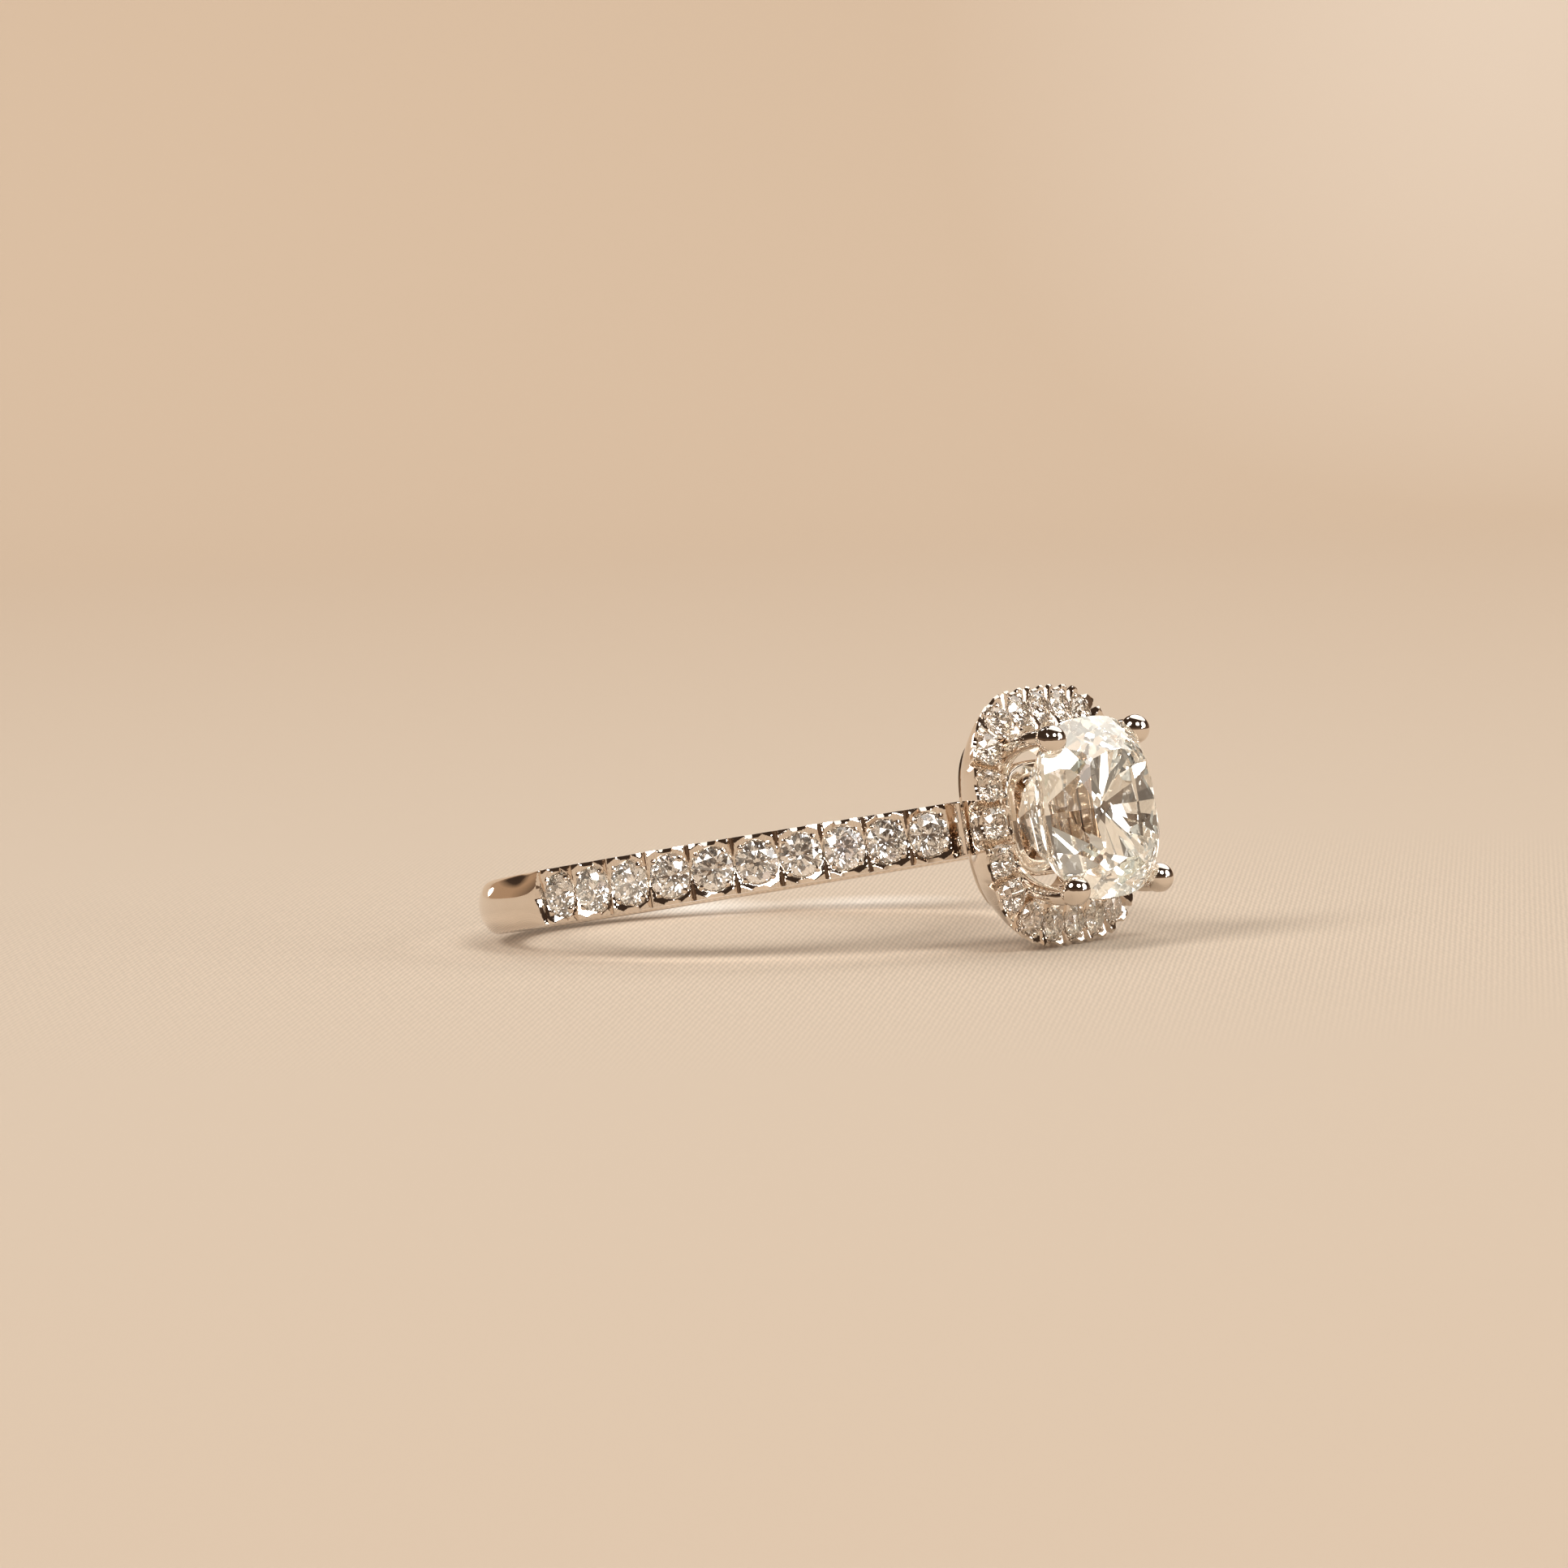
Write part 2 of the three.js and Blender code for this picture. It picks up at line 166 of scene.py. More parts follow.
goldLook = {
    "bright": rgb(0.85, 0.775, 0.70),
    "deep": rgb(0.78, 0.695, 0.61),
    "cloudScale": 900.0,
    "cloudDetail": 3.0,
    "roughness": 0.022,
    "roughnessSpread": 0.02,
    "polishScale": 9000.0,
    "polishDetail": 2.0,
    "polishStrength": 0.012,
    "polishDepth": 0.00002,
}


def whiteGold():
    material, wire = newMaterial("white_gold_polished")
    place = wire.node("ShaderNodeTexCoord", output=3)
    cloud = wire.node("ShaderNodeTexNoise", {}, {
        "Vector": place, "Scale": goldLook["cloudScale"], "Detail": goldLook["cloudDetail"]})
    polish = wire.node("ShaderNodeTexNoise", {}, {
        "Vector": place, "Scale": goldLook["polishScale"], "Detail": goldLook["polishDetail"]})
    bump = wire.node("ShaderNodeBump", {}, {
        "Height": polish, "Strength": goldLook["polishStrength"], "Distance": goldLook["polishDepth"]})
    output(wire, wire.node("ShaderNodeBsdfPrincipled", {}, {
        "Base Color": cloud.mix(goldLook["deep"], goldLook["bright"]),
        "Metallic": 1.0,
        "Roughness": goldLook["roughness"] + cloud * goldLook["roughnessSpread"],
        "Normal": bump,
    }))
    return material


stoneLook = {
    "ior": 2.417,
    "zoneScale": 700.0,
    "zoneDetail": 2.0,
    # Fire is how strongly the painted fire colours show, and glint how strongly the brightest facets emit
    # a painted glint.
    "small": {
        "clear": rgb(0.985, 0.98, 0.975),
        "warm": rgb(0.96, 0.945, 0.925),
        "fire": 0.25,
        "glint": 0.08,
    },
    "centre": {
        "clear": rgb(0.995, 0.985, 0.95),
        "warm": rgb(0.985, 0.955, 0.86),
        "fire": 0.45,
        "glint": 0.15,
    },
    # Most facets stay plain, and a few get painted fire: tinted gold, aqua or violet from these marks on.
    "fireSteps": [
        (0.0, rgb(1, 1, 1)),
        (0.86, rgb(0.97, 0.84, 0.58)),
        (0.91, rgb(0.55, 0.93, 0.90)),
        (0.955, rgb(0.62, 0.52, 0.95)),
    ],
    "paintedGlintColour": (1.0, 0.94, 0.80),
    "paintedGlintSteps": [(0.0, 0.0), (0.50, 0.12), (0.72, 0.40), (0.90, 1.0)],
}


def diamond(name, kind):
    look = stoneLook[kind]
    material, wire = newMaterial(name)
    place = wire.node("ShaderNodeTexCoord", output=3)
    zone = wire.node("ShaderNodeTexNoise", {}, {
        "Vector": place, "Scale": stoneLook["zoneScale"], "Detail": stoneLook["zoneDetail"]})
    body = zone.mix(look["clear"], look["warm"])
    # Painted fire: a few facets are tinted as if light split into colours flashed from them.
    facet = wire.node("ShaderNodeAttribute", {"attribute_name": "facetFire"}, output=2)
    fireTint = facet.ramp(stoneLook["fireSteps"], "CONSTANT")
    tinted = wire.node("ShaderNodeMix", {"data_type": "RGBA", "blend_type": "MULTIPLY"}, {
        0: look["fire"], 6: body, 7: fireTint}, output=2)
    # Painted glint: the brighter facets emit cream light of their own, as if they caught a lamp.
    light = wire.node("ShaderNodeAttribute", {"attribute_name": "facetLight"}, output=2)
    paintedGlint = light.ramp([(start, rgb(*(share * part for part in stoneLook["paintedGlintColour"])))
                        for start, share in stoneLook["paintedGlintSteps"]], "CONSTANT")
    output(wire, wire.node("ShaderNodeBsdfPrincipled", {}, {
        "Base Color": tinted,
        "Roughness": 0.0,
        "IOR": stoneLook["ior"],
        "Transmission Weight": 1.0,
        "Emission Color": paintedGlint,
        "Emission Strength": look["glint"],
    }))
    return material


def finishPiece(name, mesh, place, material, node, sharpAngle=None):
    mesh.transform(place)
    mesh.materials.append(material)
    if sharpAngle is None:
        mesh.shade_flat()
    else:
        mesh.shade_smooth()
        mesh.set_sharp_from_angle(angle=math.radians(sharpAngle))
    piece = bpy.data.objects.new(name, mesh)
    bpy.context.scene.collection.objects.link(piece)
    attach(piece, "root")
    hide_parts(node)


def gridMesh(name, points, capped=False):
    # Rows of points, each row a closed loop; the rows close on themselves too, or end in caps.
    rows, columns = points.shape[:2]
    index = np.arange(rows * columns).reshape(rows, columns)
    nextRow = np.roll(index, -1, 0)
    if capped:
        index, nextRow = index[:-1], nextRow[:-1]
    quads = np.stack([index, np.roll(index, -1, 1), np.roll(nextRow, -1, 1), nextRow], -1).reshape(-1, 4)
    faces = quads.tolist()
    if capped:
        faces.append(list(range(columns))[::-1])
        faces.append(list(range((rows - 1) * columns, rows * columns)))
    mesh = bpy.data.meshes.new(name)
    mesh.from_pydata(points.reshape(-1, 3), [], faces)
    outwards(mesh)
    return mesh


def outwards(mesh):
    work = bmesh.new()
    work.from_mesh(mesh)
    bmesh.ops.recalc_face_normals(work, faces=work.faces)
    if work.calc_volume(signed=True) < 0:
        bmesh.ops.reverse_faces(work, faces=work.faces)
    work.to_mesh(mesh)
    work.free()


def smoothStep(value):
    share = np.clip(value, 0, 1)
    return share * share * (3 - 2 * share)


def unit(vector):
    return vector / np.linalg.norm(vector, axis=-1, keepdims=True)


# A round brilliant's proportions, as shares of its radius.
brilliant = {
    "crown": 0.32,
    "girdle": 0.06,
    "pavilion": 0.86,
    "table": 0.57,
    "starReach": 0.5,
    "lowerReach": 0.77,
    "tableLift": 0.06,
}


def stoneSink(radius):
    return radius * (brilliant["crown"] + brilliant["girdle"] / 2) - brilliant["tableLift"]


def roundBrilliant(radius):
    # Corners and facets of a 57-facet round stone, its girdle's middle at z = 0 and its table up.
    half = brilliant["girdle"] / 2
    top = half + brilliant["crown"]
    table = brilliant["table"]
    eighth = math.pi / 4
    tilt = math.cos(eighth / 2)
    starRadius = table * tilt + (1 - table * tilt) * brilliant["starReach"]
    starHeight = half + (top - half) * (1 - starRadius * tilt) / (1 - table)
    lowerRadius = 1 - brilliant["lowerReach"]
    lowerHeight = -half - brilliant["pavilion"] * (1 - lowerRadius * tilt)
    corners = []

    def circle(count, turn, reach, height):
        first = len(corners)
        for i in range(count):
            angle = 2 * math.pi * (i + turn) / count
            corners.append((reach * math.cos(angle), reach * math.sin(angle), height))
        return [first + i for i in range(count)]

    tableRow = circle(8, 0, table, top)
    starRow = circle(8, 0.5, starRadius, starHeight)
    upper = circle(16, 0, 1, half)
    lower = circle(16, 0, 1, -half)
    tips = circle(8, 0.5, lowerRadius, lowerHeight)
    corners.append((0, 0, -half - brilliant["pavilion"]))
    culet = len(corners) - 1
    facets = [tableRow]
    for k in range(8):
        after, before = (k + 1) % 8, k - 1
        edge, between, nextEdge = 2 * k, 2 * k + 1, (2 * k + 2) % 16
        facets.append([tableRow[k], starRow[k], tableRow[after]])
        facets.append([tableRow[k], starRow[before], upper[edge], starRow[k]])
        facets.append([starRow[k], upper[edge], upper[between]])
        facets.append([starRow[k], upper[between], upper[nextEdge]])
        facets.append([upper[edge], lower[edge], lower[between], upper[between]])
        facets.append([upper[between], lower[between], lower[nextEdge], upper[nextEdge]])
        facets.append([lower[edge], tips[k], lower[between]])
        facets.append([lower[between], tips[k], lower[nextEdge]])
        facets.append([lower[edge], tips[before], culet, tips[k]])
    return np.array(corners) * radius, facets


def giveFire(mesh, seed):
    # Two steady numbers per facet: which few get a painted fire colour, and how much painted glint each
    # emits.
    numbers = np.random.default_rng(seed)
    for name in ("facetFire", "facetLight"):
        layer = mesh.attributes.new(name, "FLOAT", "FACE")
        layer.data.foreach_set("value", numbers.random(len(mesh.polygons)).astype(np.float32))


def addSmallStone(node, radius, site, material, turn, seed):
    corners, facets = roundBrilliant(radius)
    mesh = bpy.data.meshes.new(node + "_cut")
    mesh.from_pydata(corners.tolist(), [], facets)
    outwards(mesh)
    giveFire(mesh, seed)
    place = site @ Matrix.Rotation(turn, 4, "Z")
    finishPiece(node + "_cut", mesh, place, material, node)


def grooveHeight(off, cut):
    # The groove's floor and its two sloping sides.
    return -cut["grooveDepth"] + np.maximum(0, np.abs(off) - cut["grooveFloor"]) * cut["grooveSteep"]


def paveHeight(x, y, fromGroove, edge, cut):
    # How far the cut metal lies below the plain surface. X runs along the row and Y across it, from the
    # stone's middle; every claw is a little hip roof between the stone, the groove and the edge.
    across, along = np.abs(y), np.abs(x)
    clawAcross = edge - cut["rimBevel"]
    clawAlong = cut["halfPitch"] - cut["grooveHalf"]
    reach = np.hypot(clawAlong, clawAcross)
    toPeak = (along * clawAlong + across * clawAcross) / reach
    height = np.minimum(0, -(reach - toPeak) * cut["girdleDrop"] / (reach - cut["stone"]))
    height = np.minimum(height, -(across - clawAcross) * cut["rimSlope"])
    height = np.minimum(height, grooveHeight(fromGroove, cut))
    radius = cut["scallopRadius"]
    chord = np.sqrt(np.maximum(radius ** 2 - x ** 2, 0))
    scallop = radius - cut["scallopDepth"] - math.sqrt(2) * chord - (across - edge)
    height = np.where(np.abs(x) < radius, np.minimum(height, scallop), height)
    fromStone = np.hypot(x, y)
    seatRadius = cut["stone"] + cut["play"]
    seat = -cut["sink"] - cut["play"] - (seatRadius - fromStone) * cut["seatSlope"]
    height = np.where(fromStone < seatRadius, np.minimum(height, seat), height)
    beadReach = cut["stone"] / reach
    fromBead = np.hypot(along - clawAlong * beadReach, across - clawAcross * beadReach)
    bead = np.sqrt(np.maximum(cut["beadRadius"] ** 2 - fromBead ** 2, 0)) - cut["beadSink"]
    return np.where(fromBead < cut["beadRadius"], np.maximum(height, bead), height)


def paveCuts(stone, halfPitch, sizes):
    sink = stoneSink(stone)
    return {
        **sizes,
        "stone": stone,
        "halfPitch": halfPitch,
        "sink": sink,
        "girdleDrop": sink - stone * brilliant["girdle"] / 2,
        "seatSlope": brilliant["pavilion"],
    }


band = {
    "stoneCount": 10,
    "stoneRadius": 0.7,
    "stoneGap": 0.12,
    "collarToStone": 0.88,
    "edgeRound": 0.06,
    "backRound": 0.16,
    "backDome": 1.25,
    "innerRound": 0.16,
    "innerDome": 0.04,
    "roundingStarts": -0.6,
    "roundingRun": 2.2,
    "endArc": 0.24,
    "endArcSide": 0.06,
    "endBite": 0.12,
    "endBiteWidth": 0.3,
    "endSlope": 2.0,
    "fineStep": 0.034,
    "finePast": 0.8,
    "backStep": 0.2,
    "faceColumns": 54,
    "columnSpread": math.radians(78),
    "sideShares": (0.08, 0.25, 0.5, 0.75, 1.0),
    "innerShares": (0.6, 0.2, -0.2, -0.6),
    # The seat that the head's base stands on, and the pocket cut into it.
    "collarStart": 0.12,
    "seatFillet": 0.06,
    "pocketHalf": 1.73,
    "pocketFloor": 9.39,
    "underShares": (0.99, 0.98, 0.975, 0.97, 0.96, 0.95, 0.9, 0.55, 0.22),
    "sharpAngle": 24,
    "stoneTurn": 7.0,
    "sideTurn": 3.0,
    "seed": 100,
    "sideSeed": 20,
    "cuts": {
        "grooveHalf": 0.12,
        "grooveFloor": 0.03,
        "grooveDepth": 0.18,
        "grooveSteep": 2.0,
        "rimBevel": 0.2,
        "rimSlope": 0.35,
        "scallopRadius": 0.34,
        "scallopDepth": 0.2,
        "beadRadius": 0.105,
        "beadSink": 0.13,
        "play": 0.02,
    },
}
pitch = 2 * band["stoneRadius"] + band["stoneGap"]
collarReach = math.hypot(ring["collarFoot"], ring["collarHalfSpan"])
shoulderAngle = (math.atan2(ring["collarHalfSpan"], ring["collarFoot"])
                 + math.acos(ring["bandRadius"] / collarReach))
shoulderRun = math.sqrt(collarReach ** 2 - ring["bandRadius"] ** 2)
firstStone = band["collarToStone"] - shoulderRun
firstGroove = firstStone - pitch / 2
lastGroove = firstStone + (band["stoneCount"] - 0.5) * pitch


def bandPoint(travel):
    # On the left side: a point of the outer face's middle line, its outward direction, and the metal's
    # thickness there. Travel starts where the straight shoulder meets the round band.
    angle = shoulderAngle + np.maximum(travel, 0) / ring["bandRadius"]
    normal = np.stack([np.cos(angle), np.sin(angle)], -1)
    along = np.stack([-np.sin(angle), np.cos(angle)], -1)
    straight = np.minimum(travel, 0)
    point = normal * ring["bandRadius"] + along * straight[..., None]
    thickness = ring["bandRadius"] - np.sqrt(ring["fingerRadius"] ** 2 - straight ** 2)
    return point, normal, thickness


def bandHeight(travel, across):
    stone = np.clip(np.round((travel - firstStone) / pitch), 0, band["stoneCount"] - 1)
    groove = np.clip(np.round((travel - firstGroove) / pitch), 0, band["stoneCount"])
    cuts = paveCuts(band["stoneRadius"], pitch / 2, band["cuts"])
    x = travel - firstStone - stone * pitch
    fromGroove = travel - firstGroove - groove * pitch
    height = paveHeight(x, across, fromGroove, ring["halfWidth"], cuts)
    past = np.maximum(travel - lastGroove, firstGroove - travel)
    share = np.abs(across) / ring["halfWidth"]
    bow = np.sqrt(np.maximum(0, 1 - share ** 2))
    arc = band["endArcSide"] + (band["endArc"] - band["endArcSide"]) * bow
    bite = band["endBite"] * np.maximum(0, 1 - share / band["endBiteWidth"])
    arrow = np.minimum(0, (past - arc - bite) * band["endSlope"])
    return np.where(past > 0, np.minimum(arrow, grooveHeight(past, cuts)), height)


def bandSections():
    # Outer points from the back to the collar and on under the head, each with the inner point it faces.
    fineEnd = lastGroove + band["finePast"]
    backEnd = (math.pi - shoulderAngle) * ring["bandRadius"]
    fine = np.linspace(-shoulderRun, fineEnd, round((fineEnd + shoulderRun) / band["fineStep"]))
    back = np.linspace(fineEnd, backEnd, round((backEnd - fineEnd) / band["backStep"]) + 1)[1:]
    travel = np.concatenate([fine, back])[::-1]
    point, normal, thickness = bandPoint(travel)
    inner = point - normal * thickness[:, None]
    span, seat, foot = ring["collarHalfSpan"], ring["headSeat"], ring["collarFoot"]
    pocket, floor, fillet = band["pocketHalf"], band["pocketFloor"], band["seatFillet"]
    collar = [(foot + band["collarStart"], span), (seat - fillet, span),
              (seat - fillet * 0.3, span - fillet * 0.3), (seat, span - fillet),
              (seat, (span + pocket) / 2), (seat, pocket),
              (floor, pocket), (floor, pocket * 0.6), (floor, pocket * 0.25)]
    lastTurn = math.asin(inner[-1][1] / ring["fingerRadius"])
    turns = np.array([lastTurn * share for share in band["underShares"]])
    under = ring["fingerRadius"] * np.stack([np.cos(turns), np.sin(turns)], -1)
    outer = np.concatenate([point, np.array(collar)])
    inner = np.concatenate([inner, under])
    travel = np.concatenate([travel, np.full(len(collar), np.nan)])
    return outer, inner, travel


def bandHalf():
    outer, inner, travel = bandSections()
    half = ring["halfWidth"]
    spread = np.linspace(-1, 1, band["faceColumns"])
    across = half * np.sin(spread * band["columnSpread"]) / math.sin(band["columnSpread"])
    known = np.where(np.isnan(travel), -shoulderRun, travel)
    rounding = smoothStep((known - lastGroove - band["roundingStarts"]) / band["roundingRun"])
    edgeRound = band["edgeRound"] + (band["backRound"] - band["edgeRound"]) * rounding
    inset = np.maximum(np.abs(across)[None, :] - (half - edgeRound[:, None]), 0)
    depth = edgeRound[:, None] - np.sqrt(np.maximum(edgeRound[:, None] ** 2 - inset ** 2, 0))
    dome = band["backDome"] - np.sqrt(band["backDome"] ** 2 - across ** 2)
    depth = depth + rounding[:, None] * dome[None, :]
    cut = -bandHeight(known[:, None], across[None, :])
    cut[np.isnan(travel)] = 0
    depth = np.maximum(depth, cut)
    towards = inner - outer
    thickness = np.linalg.norm(towards, axis=1)
    towards = towards / thickness[:, None]

    def column(acrossValue, depthValue):
        flat = outer + towards * depthValue[:, None]
        return np.stack([flat[:, 0], flat[:, 1], np.broadcast_to(acrossValue, len(flat))], -1)

    columns = [column(across[j], depth[:, j]) for j in range(len(across))]
    innerRound = band["innerRound"]
    sideEnd = thickness - innerRound

    def side(sign, share):
        edge = depth[:, -1] if sign > 0 else depth[:, 0]
        return column(sign * half, edge + (sideEnd - edge) * share)

    def corner(sign, turn):
        reach = half - innerRound * (1 - math.cos(turn))
        return column(sign * reach, sideEnd + innerRound * math.sin(turn))

    turns = [math.radians(turn) for turn in (30, 60, 90)]
    columns += [side(1, share) for share in band["sideShares"]]
    columns += [corner(1, turn) for turn in turns]
    for share in band["innerShares"]:
        swell = band["innerDome"] * (1 - share ** 2)
        columns.append(column((half - innerRound) * share, thickness + swell))
    columns += [corner(-1, turn) for turn in turns[::-1]]
    columns += [side(-1, share) for share in band["sideShares"][::-1]]
    return np.stack(columns, 1)


def buildBand(gold, stoneMaterial):
    left = bandHalf()
    right = left[::-1] * np.array([1, -1, 1])
    loop = np.concatenate([left, right[:-1]])
    mesh = gridMesh("shank_polished", loop)
    finishPiece("shank_polished", mesh, bandPlace, gold, "shank", band["sharpAngle"])
    sink = stoneSink(band["stoneRadius"])
    for side, word in ((1, "left"), (-1, "right")):
        for i in range(band["stoneCount"]):
            travel = firstStone + i * pitch
            angle = shoulderAngle + max(travel, 0) / ring["bandRadius"]
            normal = Vector((math.cos(angle), side * math.sin(angle), 0))
            along = Vector((-side * math.sin(angle), math.cos(angle), 0))
            origin = normal * (ring["bandRadius"] - sink) + along * (side * min(travel, 0))
            site = bandPlace @ siteMatrix(origin, along, normal)
            node = f"shank_diamond_{word}_{i + 1:02d}"
            turn = math.radians(band["stoneTurn"] * i + band["sideTurn"] * side)
            seed = band["seed"] + band["sideSeed"] * side + i
            addSmallStone(node, band["stoneRadius"], site, stoneMaterial, turn, seed)
    print("band and its stones made")


def siteMatrix(origin, along, normal):
    across = normal.cross(along)
    return Matrix.Translation(origin) @ Matrix((along, across, normal)).transposed().to_4x4()


halo = {
    "stoneCount": 20,
    "stoneGap": 0.16,
    "innerAcross": 2.97,
    "innerAlong": 2.91,
    "faceWidth": 1.5,
    "backHeight": 10.4,
    "depth": 1.72,
    "slope": math.radians(12),
    "backShrink": 1.45,
    "innerShrink": 0.45,
    "squareness": 3.2,
    "wallSwell": 0.07,
    "backRound": 0.16,
    "backEdge": 0.05,
    "stepsPerStone": 46,
    "faceColumns": 44,
    "wallRows": 16,
    "innerShares": (0.35, 0.7, 0.95),
    "rimGuesses": 14,
    "sharpAngle": 24,
    "stoneTurn": 11.0,
    "seed": 200,
    "cuts": {
        "grooveHalf": 0.16,
        "grooveFloor": 0.0,
        "grooveDepth": 0.44,
        "grooveSteep": 2.3,
        "rimBevel": 0.14,
        "rimSlope": 0.6,
        "scallopRadius": 0.33,
        "scallopDepth": 0.22,
        "beadRadius": 0.1,
        "beadSink": 0.12,
        "play": 0.02,
    },
}
halo["middleAcross"] = halo["innerAcross"] + halo["faceWidth"] / 2
halo["middleAlong"] = halo["innerAlong"] + halo["faceWidth"] / 2
halo["faceHeight"] = halo["backHeight"] + halo["depth"]


lineSteps = 4800  # how finely a rounded square is walked to measure it
lineNudge = 2e-4  # the share of its length that finds its direction


def squareReach(angle, squareness):
    return (np.abs(np.cos(angle)) ** squareness + np.abs(np.sin(angle)) ** squareness) ** (-1 / squareness)


def cushionLine(halfAcross, halfAlong, squareness, shares):
    # A rounded square walked at an even pace from +X: points, directions along and outwards, and length.
    angle = np.linspace(0, 2 * math.pi, lineSteps + 1)
    radius = squareReach(angle, squareness)
    line = np.stack([halfAcross * radius * np.cos(angle), halfAlong * radius * np.sin(angle)], -1)
    run = np.concatenate([[0], np.cumsum(np.linalg.norm(np.diff(line, axis=0), axis=1))])

    def at(share):
        place = (share % 1.0) * run[-1]
        return np.stack([np.interp(place, run, line[:, 0]), np.interp(place, run, line[:, 1])], -1)

    tangent = unit(at(shares + lineNudge) - at(shares - lineNudge))
    outward = np.stack([tangent[:, 1], -tangent[:, 0]], -1)
    return at(shares), tangent, outward, run[-1]


def haloSites(shares):
    point, tangent, outward, length = cushionLine(
        halo["middleAcross"], halo["middleAlong"], halo["squareness"], shares)
    slope = halo["slope"]
    height = np.full((len(shares), 1), halo["faceHeight"] + halo["faceWidth"] / 2 * math.tan(slope))
    flat = np.zeros((len(shares), 1))
    origin = np.concatenate([point, height], 1)
    along = np.concatenate([tangent, flat], 1)
    normal = np.concatenate([outward * math.sin(slope), flat + math.cos(slope)], 1)
    return origin, along, normal, length


def haloMesh():
    count = halo["stoneCount"]
    sections = count * halo["stepsPerStone"]
    shares = np.arange(sections) / sections
    middle, tangent, outward, length = cushionLine(
        halo["middleAcross"], halo["middleAlong"], halo["squareness"], shares)
    stone = length / count / 2 - halo["stoneGap"] / 2
    outer = middle / np.array([halo["middleAcross"], halo["middleAlong"]])  # one millimetre further out
    edgeReach = np.sum(outer * outward, 1)  # how much of that millimetre is straight outwards
    half = halo["faceWidth"] / 2
    slope = math.tan(halo["slope"])
    cuts = paveCuts(stone, length / count / 2, halo["cuts"])
    stoneOrigin, stoneAlong, stoneNormal, _ = haloSites(np.arange(count) / count)
    grooveOrigin, grooveAlong, _, _ = haloSites((np.arange(count) + 0.5) / count)
    nearStone = np.round(shares * count).astype(int) % count
    nearGroove = np.floor(shares * count).astype(int) % count
    stoneAcross = np.cross(stoneNormal, stoneAlong)

    def surface(offset):
        # The cut face's height at these offsets from the middle line, one row per section.
        flat = middle[:, None, :] + outer[:, None, :] * offset[..., None]
        plain = halo["faceHeight"] + (half - offset) * slope
        point = np.concatenate([flat, plain[..., None]], -1)
        fromStone = point - stoneOrigin[nearStone][:, None, :]
        x = np.sum(fromStone * stoneAlong[nearStone][:, None, :], -1)
        y = -np.sum(fromStone * stoneAcross[nearStone][:, None, :], -1)
        fromGroove = point - grooveOrigin[nearGroove][:, None, :]
        groove = np.sum(fromGroove * grooveAlong[nearGroove][:, None, :], -1)
        return plain + paveHeight(x, y, groove, half * edgeReach[:, None], cuts)

    wallSlope = halo["backShrink"] / halo["depth"]

    def wallHeight(offset):
        return halo["faceHeight"] - (half - offset) / wallSlope

    low, high = np.zeros((sections, 1)), np.full((sections, 1), half)
    for _ in range(halo["rimGuesses"]):  # where the cut face meets the outer wall
        guess = (low + high) / 2
        above = surface(guess) > wallHeight(guess)
        low, high = np.where(above, guess, low), np.where(above, high, guess)
    rim = (low + high) / 2
    spread = np.linspace(0, 1, halo["faceColumns"])[None, :]
    offset = -half + (rim + half) * spread
    height = surface(offset)
    height[:, -1:] = wallHeight(rim)

    def column(offsetValue, heightValue):
        flat = middle + outer * np.reshape(offsetValue, (-1, 1))
        return np.concatenate([flat, np.broadcast_to(np.reshape(heightValue, (-1, 1)), (sections, 1))], 1)

    columns = [column(offset[:, j], height[:, j]) for j in range(offset.shape[1])]
    rimHeight = height[:, -1]
    backRound = halo["backRound"]
    bottom = halo["backHeight"]
    for share in np.linspace(0, 1, halo["wallRows"] + 1)[1:]:
        z = rimHeight + (bottom + backRound - rimHeight) * share
        swell = halo["wallSwell"] * math.sin(math.pi * share)
        columns.append(column(half - (halo["faceHeight"] - z) * wallSlope + swell, z))
    wallEnd = half - (halo["depth"] - backRound) * wallSlope
    for turn in (30, 60, 90):
        lean = math.radians(turn)
        inwards, down = 1 - math.cos(lean), 1 - math.sin(lean)
        columns.append(column(wallEnd - backRound * inwards, bottom + backRound * down))
    innerBack = -half - halo["innerShrink"]
    edge = halo["backEdge"]
    columns.append(column((wallEnd - backRound + innerBack) / 2, bottom))
    columns.append(column(innerBack + edge, bottom))
    columns.append(column(innerBack, bottom + edge))
    for share in halo["innerShares"]:
        z = bottom + edge + (height[:, 0] - bottom - edge) * share
        columns.append(column(innerBack + halo["innerShrink"] * share, z))
    return gridMesh("halo_polished", np.stack(columns, 1)), stone


def buildHalo(gold, stoneMaterial):
    mesh, stone = haloMesh()
    finishPiece("halo_polished", mesh, headPlace, gold, "halo_frame", halo["sharpAngle"])
    count = halo["stoneCount"]
    origin, along, normal, _ = haloSites(np.arange(count) / count)
    sink = stoneSink(stone)
    for i in range(count):
        up = Vector(normal[i])
        site = headPlace @ siteMatrix(Vector(origin[i]) - up * sink, Vector(along[i]), up)
        turn = math.radians(halo["stoneTurn"] * i)
        addSmallStone(f"halo_diamond_{i + 1:02d}", stone, site, stoneMaterial, turn, halo["seed"] + i)
    print("halo and its stones made")


